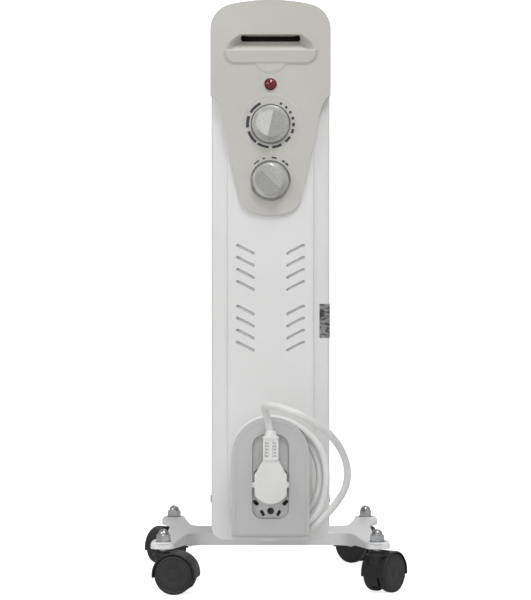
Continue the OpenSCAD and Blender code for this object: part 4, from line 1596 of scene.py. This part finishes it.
    def marks(self) -> Shape:
        """The printed ring of growing dashes round the thermostat, and the marks over the power dial.

        Returns:
            The shape, in place.
        """
        both = Shape()
        for z, dashes in ((THERMOSTAT_Z, self.thermostat_dashes), (POWER_Z, self.power_dashes)):
            for each in dashes:
                both.join(Shape.slab([self.dash(z, *each)], Plane.FRONT, PANEL_Y - 0.12, PANEL_Y + 0.4))
        return both

    def surrounds(self) -> Shape:
        """The low rings moulded round the thermostat's dial and the lamp.

        Returns:
            The shape, in place.
        """
        both = Shape()
        rim = [(25.4, -0.3), (26.8, 0.1), (28.0, 0.3), (29.4, 0.2), (31.0, -0.3)]
        both.join(Shape.ring(rim, 96).moved(FACING_FRONT).at(0, PANEL_Y, THERMOSTAT_Z))
        bezel = [(6.0, -1.0), (6.0, 0.4), (6.4, 0.7), (7.0, 0.45), (7.6, -0.3)]
        both.join(Shape.ring(bezel, 64).moved(FACING_FRONT).at(0, PANEL_Y, LAMP_Z))
        return both

    def lens(self) -> Shape:
        """The lamp's cut lens."""
        profile = [(0, 4.4), (1.6, 4.0), (3.9, 2.7), (5.2, 1.1), (5.8, -0.4), (5.8, -4.0), (0, -4.0)]
        return Shape.lathe(profile, 16).moved(FACING_FRONT).at(0, PANEL_Y, LAMP_Z)

    def build(self) -> None:
        """Makes the panel's pieces."""
        self.fascia().piece("fascia", PANEL_GREY, replaces=["control_panel"], crease=50)
        self.grip().piece("grip_moulding", PANEL_GREY, replaces=["handle_pocket"], crease=50)
        self.slot().piece("finger_slot", SLOT_PAINTED_SHADE)
        self.marks().piece("dial_marks", MARK_PRINT)
        self.surrounds().piece("dial_surrounds", PANEL_GREY)
        self.lens().piece("lamp_glass", LAMP_RED, replaces=["lamp_lens"], crease=15)


# ---- Dials ----


@dataclass
class Dial:
    """A turning dial whose face is two slopes that meet in a crest. Millimetres."""

    name: str
    node: str
    body: str
    z: float
    r: float
    tilt: float
    crest: float
    disc: float = 6.0
    back_y: float = -153.4
    rim: float = 0.6
    # Shares of the radius: how far across the slopes reach, and where the crest dies away to the rim
    reach: float = 0.86
    fade_from: float = 0.70
    fade_over: float = 0.24
    curve: float = 1.25

    def build(self) -> None:
        """Makes the dial."""
        r = self.r
        rings = [r * i / 20 for i in range(19)]
        profile = [(x, self.disc) for x in rings]
        profile += [(r - self.rim + x, self.disc - 0.9 + z) for x, z in arc(0, 0, self.rim, 90, 0, 4)]
        profile += [(r, self.disc - 2.2), (r + 0.15, 0.4), (r + 0.15, -0.8), (0, -0.8)]
        shape = Shape.lathe(profile, 120)
        for vert in shape.bm.verts:
            if vert.co.z > self.disc - 0.01:
                across = abs(vert.co.x) / r
                out = math.hypot(vert.co.x, vert.co.y) / r
                slope = max(0.0, 1 - across / self.reach) ** self.curve
                vert.co.z += self.crest * slope * (1 - ease((out - self.fade_from) / self.fade_over))
        shape.closed()
        turn = Matrix.Rotation(math.radians(self.tilt), 4, "Y")
        shape.moved(turn @ FACING_FRONT).at(0, self.back_y, self.z)
        shape.piece(self.name, KNOB_SILVER, self.body, [self.node], crease=28)


# ---- Cord store ----


@dataclass
class CordStore:
    """The grey cover in front of the winding, with the pocket that parks the plug. Millimetres."""

    arch_r: float = 37.4
    arch_z: float = 149.3
    pocket_half: float = 17.7
    pocket_low: float = 88.9
    pocket_high: float = 170.0
    shelf_y: float = -181.0
    floor_y: float = -169.0
    well_r: float = 19.6
    well_flat: float = 15.9
    plug_z: float = Plug.z
    pin_x: float = Plug.pin_x
    pin_hole_r: float = 2.9
    seam_z: float = 73.8
    hole_z: float = 96.3
    hole_r: float = 3.3
    # The slots beside the round hole: x, z, tilt, half width and corner
    slots: tuple[tuple[float, float, float, float, float], ...] = (
        (14.2, 104.2, 48, 1.8, 0.9),
        (7.8, 94.3, 60, 1.5, 0.8),
    )

    def cover_outline(self, inset: float = 0.0) -> Outline:
        """The arched plate.

        Args:
            inset: how far in it is drawn.

        Returns:
            The outline.
        """
        r, low, corner = self.arch_r - inset, COVER_LOW.z + inset, 3.5
        line = arc(0, self.arch_z, r, 0, 180, 48)
        line += arc(corner - r, low + corner, corner, 180, 270, 8)
        return line + arc(r - corner, low + corner, corner, 270, 360, 8)

    def pocket_outline(self, grow: float = 0.0) -> Outline:
        """The pocket's rim, tighter at its foot than at its top.

        Args:
            grow: how far out it is drawn.

        Returns:
            The outline.
        """
        half, low, high = self.pocket_half, self.pocket_low, self.pocket_high
        return (
            arc(half - 12, high - 12, 12 + grow, 0, 90, 12)
            + arc(12 - half, high - 12, 12 + grow, 90, 180, 12)
            + arc(10 - half, low + 10, 10 + grow, 180, 270, 12)
            + arc(half - 10, low + 10, 10 + grow, 270, 360, 12)
        )

    def well_outline(self, grow: float = 0.0) -> Outline:
        """The well that the plug's round body sits in.

        Args:
            grow: how far out it is drawn.

        Returns:
            The outline.
        """
        r, flat = self.well_r + grow, self.well_flat + grow
        a = math.degrees(math.acos(flat / r))
        return arc(0, self.plug_z, r, a, 180 - a, 24) + arc(0, self.plug_z, r, 180 + a, 360 - a, 24)

    def holes(self) -> list[Outline]:
        """The slots and the round hole under the plug.

        Returns:
            Their outlines.
        """
        made = [circle(0, self.hole_z, self.hole_r, 32)]
        for s in (-1, 1):
            for x, z, tilt, half, corner in self.slots:
                made.append(placed(rounded_box(-3, 3, -half, half, corner, 4), s * x, z, s * tilt))
        return made

    def cover(self) -> Shape:
        """The cover plate, the pocket sunk into it and the well in the pocket's floor.

        Returns:
            The shape, in place.
        """
        front, shelf, floor = COVER_LOW.y, self.shelf_y, self.floor_y
        plate = Shape.slab([self.cover_outline(), self.pocket_outline()], Plane.FRONT, front, front + 4)
        plate.bevel(1.1, 4, 50, lambda v: v.y < front + 0.01)
        foot = [(-40, 60), (40, 60), (40, self.seam_z), (-40, self.seam_z)]
        plate.cut(Shape.slab([foot], Plane.FRONT, front - 1, front + 0.7))
        pocket, well = self.pocket_outline(), self.well_outline()
        plate.join(Shape.slab([self.pocket_outline(1.2), pocket], Plane.FRONT, front + 1.5, shelf + 1.2))
        ledge = Shape.slab([self.pocket_outline(0.6), well, *self.holes()], Plane.FRONT, shelf, shelf + 1.2)
        plate.join(ledge.bevel(0.4, 2, 50, lambda v: v.y < shelf + 0.01))
        plate.join(Shape.slab([self.well_outline(1.2), well], Plane.FRONT, shelf + 0.6, floor + 1.2))
        pins = [circle(x, self.plug_z, self.pin_hole_r, 24) for x in (-self.pin_x, self.pin_x)]
        plate.join(Shape.slab([self.well_outline(0.6), *pins], Plane.FRONT, floor, floor + 1.2))
        rim = [self.cover_outline(3.6), self.cover_outline(4.6)]
        bead = Shape.slab(rim, Plane.FRONT, front - 0.25, front + 0.4)
        plate.join(bead.bevel(0.2, 2, 50, lambda v: v.y < front - 0.2))
        return plate

    def build(self) -> None:
        """Makes the cord store's pieces."""
        self.cover().piece("cord_cover", STORE_GREY, replaces=["winder_cover"], crease=50)


# ---- Radiator ----


@dataclass
class Radiator:
    """Seven hollow fins, pressed from sheet and welded hub to hub. Millimetres."""

    count: int = 7
    pitch: float = 40.0
    half: float = 56.0
    low: float = 60.0
    high: float = 570.0
    corner: float = 30.0
    sheet: float = 1.6
    hub_low: float = 102.0
    hub_high: float = 528.0
    hub_r: float = 20.0
    boss: float = 8.0
    channel_x: float = 30.0
    channel_half: float = 9.0
    channel_d: float = 13.0
    fold: float = 14.0

    def panel(self) -> Shape:
        """The flat sheet with its rounded corners and a rolled rim.

        Returns:
            The sheet, about the fin's own middle.
        """
        outline = rounded_box(-self.half, self.half, self.low, self.high, self.corner, 14)
        sheet = Shape.slab([outline], Plane.FRONT, -self.sheet / 2, self.sheet / 2)
        return sheet.bevel(0.5, 2, 50)

    def channels(self) -> Shape:
        """The oil channels, pressed out to both sides.

        Returns:
            The channels, about the fin's own middle.
        """
        wide = self.channel_x + self.channel_half
        low, high = self.hub_low - 13, self.hub_high + 13
        outer = rounded_box(-wide, wide, low, high, 12, 10)
        windows = [
            rounded_box(s * 15 - 6, s * 15 + 6, self.hub_low + 13, self.hub_high - 13, 5.9, 8)
            for s in (-1, 1)
        ]
        half = self.channel_d / 2
        body = Shape.slab([outer, *windows], Plane.FRONT, -half, half)
        return body.bevel(4.2, 4, 50)

    def fold_side(self, side: int) -> Shape:
        """One folded edge, which tapers to the sheet at both ends.

        Args:
            side: -1 for the left, 1 for the right.

        Returns:
            The edge, about the fin's own middle.
        """
        top, bottom = self.hub_high - 30, self.hub_low + 30
        outline = [(self.fold, bottom), (self.fold, top)]
        taper = ((self.fold, -16), (9, -6), (3, 2), (1.2, 14))
        outline += bezier([(y, self.hub_high + z) for y, z in taper], 10)
        outline += [(-y, z) for y, z in reversed(outline[1:])]
        outline += bezier([(-y, self.hub_low - z) for y, z in taper], 10)
        outline += [(-y, z) for y, z in reversed(outline[-11:])]
        x0, x1 = sorted((side * (self.half - 1.2), side * self.half))
        sheet = Shape.slab([outline], Plane.SIDE, x0, x1)
        return sheet.bevel(0.45, 2, 50)

    def hub(self, z: float, front: float, rear: float) -> Shape:
        """A hub's boss with a weld bead at each end.

        Args:
            z: its height.
            front, rear: how far it reaches from the fin's middle.

        Returns:
            The boss.
        """
        r = self.hub_r
        profile = [(0, -front), (r - 0.8, -front)]
        profile += [(r + 0.9, -front + 0.9), (r, -front + 2.2), (r, -10), (r + 3, -7), (r + self.boss, -6)]
        profile += [(r + self.boss, 6), (r + 3, 7), (r, 10), (r, rear - 2.2)]
        profile += [(r + 0.9, rear - 0.9), (r - 0.8, rear), (0, rear)]
        away = Matrix.Rotation(math.radians(-90), 4, "X")
        return Shape.lathe(profile, 56).moved(away).at(0, 0, z)

    def build(self) -> None:
        """Makes the fins."""
        common = self.panel()
        common.join(self.channels())
        for side in (-1, 1):
            common.join(self.fold_side(side))
        for i in range(1, self.count + 1):
            node = f"fin_{i}"
            front = node_box(node)[0].y
            y = BASE_Y + (i - 1 - (self.count - 1) / 2) * self.pitch
            fin = common.copy()
            for z in (self.hub_low, self.hub_high):
                fin.join(self.hub(z, y - front if i == 1 else self.pitch / 2, self.pitch / 2))
            fin.at(0, y, 0).piece(f"radiator_fin_{i}", FIN_ENAMEL, replaces=[node], crease=50)


# ---- Base plate and casters ----


@dataclass
class BasePlate:
    """The pressed base plate with its four caster tabs, and the nuts on top. Millimetres."""

    bar_half: float = 28.0
    bar_end: float = 68.0
    tab_in: float = 97.0
    tab_out: float = 122.0
    tab_end: float = 121.0
    tab_r: float = 8.0
    waist_x: float = 110.0
    waist_y: float = 56.0
    stem_x: float = 109.0
    stem_y: float = 110.0
    bolt_x: float = 22.8
    bolt_y: float = 20.0
    sheet: float = 1.5
    tab_depth: float = 6.0
    shoulder: float = 2.2
    # How far from the centre bar the turned-down edge starts to get shallower, and over what length
    taper_from: float = 38.0
    taper_over: float = 28.0
    stem_hole_r: float = 4.4
    bolt_hole_r: float = 2.9
    nut_r: float = 7.5
    nut_high: float = 6.2
    washer: float = 1.5

    def quarter(self) -> Outline:
        """A quarter of the outline, from the bar round the tab to the waist.

        Returns:
            Its points.
        """
        bar, end = self.bar_half, self.bar_end
        line = bezier([(end, bar), (end + 14, bar), (end + 16, bar + 6), (end + 20, bar + 22)], 14)
        line += arc(self.tab_in + self.tab_r, self.tab_end - self.tab_r, self.tab_r, 180, 90, 8)
        line += arc(self.tab_out - self.tab_r, self.tab_end - self.tab_r, self.tab_r, 90, 0, 8)
        out, far, x, y = self.tab_out, self.tab_end, self.waist_x, self.waist_y
        return line + bezier([(out, far - 22), (out, far - 42), (x, y + 22), (x, y)], 14)

    def outline(self) -> Outline:
        """The whole outline about the base's centre.

        Returns:
            The closed outline.
        """
        q = self.quarter()
        back = list(reversed(q))
        return back + [(-x, y) for x, y in q] + [(-x, -y) for x, y in back] + [(x, -y) for x, y in q]

    def depth(self, y: float) -> float:
        """How far the turned-down edge reaches at a distance from the centre bar."""
        full = BASE_HIGH.z - BASE_LOW.z
        return full + (self.tab_depth - full) * ease((abs(y) - self.taper_from) / self.taper_over)

    def plate(self) -> Shape:
        """The pressed sheet: a flat top, a rounded shoulder and a turned-down edge.

        Returns:
            The shape, in place.
        """
        shape = Shape()
        bm = shape.bm
        top = BASE_HIGH.z
        verts = [bm.verts.new((x, y + BASE_Y, top)) for x, y in self.outline()]
        edges = [bm.edges.new(pair) for pair in zip(verts, verts[1:] + verts[:1])]
        bmesh.ops.contextual_create(bm, geom=edges)
        skirt = bmesh.ops.extrude_edge_only(bm, edges=edges)["geom"]
        for vert in [g for g in skirt if isinstance(g, BMVert)]:
            vert.co.z = top - self.depth(vert.co.y - BASE_Y)
        bmesh.ops.remove_doubles(bm, verts=bm.verts, dist=0.01)
        bmesh.ops.recalc_face_normals(bm, faces=bm.faces)
        rim = [e for e in bm.edges if not e.is_boundary and all(v.co.z > top - 0.01 for v in e.verts)]
        bmesh.ops.bevel(
            bm, geom=rim, offset=self.shoulder, offset_type="OFFSET", segments=4, profile=0.5,
            affect="EDGES", clamp_overlap=True, material=-1,
        )
        bm.normal_update()
        up = max(bm.faces, key=lambda f: f.calc_area())
        if up.normal.z < 0:
            bmesh.ops.reverse_faces(bm, faces=bm.faces)
        bmesh.ops.solidify(bm, geom=bm.faces[:], thickness=self.sheet)
        stem = (self.stem_x, self.stem_y, self.stem_hole_r)
        bolt = (self.bolt_x, self.bolt_y, self.bolt_hole_r)
        holes = Shape()
        for sx in (-1, 1):
            for sy in (-1, 1):
                for x, y, r in (stem, bolt):
                    drill = Shape.lathe([(0, -4), (r, -4), (r, 4), (0, 4)], 24)
                    holes.join(drill.at(sx * x, BASE_Y + sy * y, top))
        return shape.cut(holes)

    def ribs(self) -> Shape:
        """A raised ring pressed round each stem.

        Returns:
            The shape, in place.
        """
        both = Shape()
        top = BASE_HIGH.z
        for sx in (-1, 1):
            for sy in (-1, 1):
                pad = Shape.ring([(8.6, -0.5), (9.4, 0.5), (10.6, 0.9), (11.8, 0.5), (12.6, -0.5)], 56)
                both.join(pad.at(sx * self.stem_x, BASE_Y + sy * self.stem_y, top))
        return both

    def washers(self) -> Shape:
        """The flat washers under the nuts.

        Returns:
            The shape, in place.
        """
        h = self.washer
        made = Shape.lathe([(4.3, 0), (7.6, 0), (8.0, 0.4), (8.0, h - 0.4), (7.6, h), (4.3, h), (4.3, 0)], 48)
        return self.at_stems(made, BASE_HIGH.z)

    def nuts(self) -> Shape:
        """Acorn nuts: a chamfered hexagon under a dome.

        Returns:
            The shape, in place.
        """
        nut = Shape.slab([circle(0, 0, self.nut_r, 6)], Plane.FLOOR, 0, self.nut_high)
        cone = Shape.lathe([(0, -1), (6.6, -1), (7.7, 0.6), (7.7, 5.5), (6.5, 6.4), (0, 6.4)], 48)
        nut.cut(cone, Cut.COMMON)
        nut.bevel(0.25, 2, 40)
        dome = [(5.7 * x, self.nut_high + 5.8 * z) for x, z in arc(0, 0, 1, 80, 0, 8)]
        nut.join(Shape.lathe([(0, 12.0), *dome, (5.9, 5.6), (0, 5.6)], 40))
        return self.at_stems(nut, BASE_HIGH.z + self.washer)

    def at_stems(self, one: Shape, z: float) -> Shape:
        """Copies a shape onto the four caster stems, each turned a little.

        Args:
            one: the shape, standing on Z.
            z: the height that it stands at.

        Returns:
            The four copies.
        """
        four = Shape()
        for i, (sx, sy) in enumerate(((-1, -1), (1, -1), (-1, 1), (1, 1))):
            turn = Matrix.Rotation(math.radians(17 + 23 * i), 4, "Z")
            four.join(one, Matrix.Translation((sx * self.stem_x, BASE_Y + sy * self.stem_y, z)) @ turn)
        return four

    def build(self) -> None:
        """Makes the base's pieces."""
        self.plate().piece("base_pressing", BASE_ENAMEL_PAINTED_LIGHT, replaces=["base_plate"], crease=50)
        self.ribs().piece("base_beads", BASE_ENAMEL_PAINTED_LIGHT)
        self.washers().piece("stem_washers", ZINC_STEEL, replaces=["caster_washers"])
        self.nuts().piece("acorn_nuts", CHROME_NUT, replaces=["caster_nuts"], crease=30)


@dataclass
class Caster:
    """A twin-wheel caster, built with its stem on Z and trailing along +Y. Millimetres."""

    key: str
    stem: Point2
    turn: float
    wheel_r: float = 20.0
    hood_r: float = 22.5
    trail: float = 13.0
    half: float = 14.0
    core: float = 4.8
    neck_top: float = 43.0
    neck_r: float = 8.5
    collar_r: float = 11.4
    hood_start: float = 82.0
    hood_sweep: float = 196.0

    def place(self) -> Matrix:
        """Where the caster stands."""
        turn = Matrix.Rotation(math.radians(self.turn), 4, "Z")
        return Matrix.Translation((self.stem[0], BASE_Y + self.stem[1], 0)) @ turn

    def axle(self) -> Matrix:
        """Turns a shape on Z onto the axle, which lies along X."""
        return Matrix.Translation((0, self.trail, self.wheel_r)) @ FACING_RIGHT

    def hood(self) -> Shape:
        """The hood over both wheels, the web between them and the neck round the stem.

        Returns:
            The hood, about the stem.
        """
        r, inner = self.hood_r, self.wheel_r + 0.7
        rim = [(inner, -self.half), (r - 0.7, -self.half), (r, -self.half + 0.7), (r, self.half - 0.7)]
        rim += [(r - 0.7, self.half), (inner, self.half)]
        hood = Shape.ring(rim, 44, self.hood_sweep)
        hood.moved(Matrix.Rotation(math.radians(self.hood_start), 4, "Z"))
        disc = Shape.lathe([(0, -self.core), (21, -self.core), (21, self.core), (0, self.core)], 56)
        web = Shape().join(disc, self.axle())
        web.cut(Shape.slab([rounded_box(-30, 30, -40, 60, 1)], Plane.FLOOR, -10, 7))
        body = Shape().join(hood, self.axle()).join(web.bevel(0.6, 2, 50))
        top, nr, cr = self.neck_top, self.neck_r, self.collar_r
        profile = [(0, 24), (nr, 24), (nr, top - 2.5), (nr - 0.9, top - 0.6), (nr - 2.1, top), (0, top)]
        neck = Shape.lathe(profile, 44)
        keep_out = Shape.lathe([(0, -12), (inner, -12), (inner, 12), (0, 12)], 56).moved(self.axle())
        neck.cut(keep_out)
        body.join(neck)
        profile = [(0, top - 4.6), (cr, top - 4.6), (cr, top - 3.6), (nr + 0.1, top - 1.4), (0, top - 1.4)]
        collar = Shape.lathe(profile, 44)
        collar.cut(Shape.lathe([(0, -16), (r - 0.4, -16), (r - 0.4, 16), (0, 16)], 56).moved(self.axle()))
        return body.join(collar)

    def wheel(self, side: int) -> Shape:
        """One wheel: a tread with round shoulders and a dished outer face with a hub cap.

        Args:
            side: -1 for the left wheel, 1 for the right.

        Returns:
            The wheel, on its axle.
        """
        r = self.wheel_r
        inner, outer = self.core + 0.5, self.half - 0.2
        profile = [(3.1, inner), (r - 2.0, inner), (r - 0.5, inner + 0.5), (r, inner + 1.8), (r, outer - 2.0)]
        profile += [(r - 0.35, outer - 0.9), (r - 1.3, outer - 0.2), (r - 2.6, outer), (r - 3.4, outer - 0.5)]
        profile += [(r - 4.4, outer - 0.15), (12.0, outer + 0.02), (7.4, outer - 0.1), (6.6, outer - 0.5)]
        profile += [(5.8, outer - 0.1), (4.0, outer + 0.1), (1.4, outer + 0.15), (0, outer + 0.15)]
        wheel = Shape.lathe(profile, 72)
        bore = Shape.lathe([(3.1, inner), (3.1, outer - 2), (0, outer - 2)], 32)
        wheel.join(bore).closed()
        if side < 0:
            wheel.moved(Matrix.Rotation(math.radians(180), 4, "X"))
        return Shape().join(wheel, self.axle())

    def build(self) -> None:
        """Makes the caster's pieces."""
        key, place = self.key, self.place()
        body = self.hood().moved(place)
        body.piece(f"{key}_hood", CASTER_BLACK, f"caster_{key}", [f"caster_{key}_body"], crease=35)
        for letter in ("a", "b"):
            node = f"caster_{key}_wheel_{letter}"
            low, high = node_box(node)
            middle = place.inverted() @ ((low + high) / 2)
            wheel = self.wheel(1 if middle.x > 0 else -1).moved(place)
            wheel.piece(f"{key}_wheel_{letter}", WHEEL_BLACK, f"wheel_{key}_{letter}", [node], crease=35)


# ---- Everything that keeps its CAD shape ----


KEPT: dict[str, Finish] = {
    "caster_stems": ZINC_STEEL,
    "u_bolts": ZINC_STEEL,
    "oil_fill": HEATING_OIL,
    "heating_elements": ELEMENT_STEEL,
    "element_flange": ZINC_STEEL,
    "heat_shield": ZINC_STEEL,
    "lamp_body": INNER_PLASTIC,
    "thermostat_body": INNER_PLASTIC,
    "switch_body": INNER_PLASTIC,
    "component_bracket": ZINC_STEEL,
    "thermal_cutout": INNER_PLASTIC,
    "terminal_block": INNER_PLASTIC,
    "wiring": WIRE_SLEEVE,
    "winder_core": STORE_GREY,
    "cord_gland": CORD_WHITE,
    "housing_screws": ZINC_STEEL,
    "panel_screws": ZINC_STEEL,
    "thermostat_shaft": ZINC_STEEL,
    "power_shaft": ZINC_STEEL,
    "caster_fl_axle": ZINC_STEEL,
    "caster_fr_axle": ZINC_STEEL,
    "caster_rl_axle": ZINC_STEEL,
    "caster_rr_axle": ZINC_STEEL,
}
SOFTENED: dict[str, tuple[Finish, float]] = {
    "wing_nuts": (ZINC_STEEL, 0.5),
    "neck_saddles": (ZINC_STEEL, 0.8),
    "filler_plug": (ZINC_STEEL, 0.5),
}


def dress_kept() -> None:
    """Gives the CAD nodes that keep their shape their materials."""
    for node, finish in KEPT.items():
        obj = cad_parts[node]
        obj.data.materials.clear()
        obj.data.materials.append(finish.material())
    for node, (finish, width) in SOFTENED.items():
        Shape.of_node(node).bevel(width, 2, 35).piece(f"{node}_rounded", finish, replaces=[node])


def main() -> None:
    """Builds the studio and the heater."""
    logging.basicConfig(level=logging.INFO, format="%(name)s: %(message)s")
    Studio().build()
    plug = Plug().build()
    MainsCord().build(plug)
    ControlHousing().build()
    ControlPanel().build()
    Dial("thermostat_dial_face", "thermostat_knob", "thermostat_dial", THERMOSTAT_Z, 18.0, 12.0, 6.4).build()
    Dial("power_dial_face", "power_knob", "power_dial", POWER_Z, 17.4, -45.0, 9.2).build()
    CordStore().build()
    Radiator().build()
    base = BasePlate()
    base.build()
    for key, x, y, turn in (("fl", -1, -1, -100), ("fr", 1, -1, -38), ("rl", -1, 1, 142), ("rr", 1, 1, 53)):
        Caster(key, (x * base.stem_x, y * base.stem_y), turn).build()
    dress_kept()


if __name__ == "__main__":
    main()
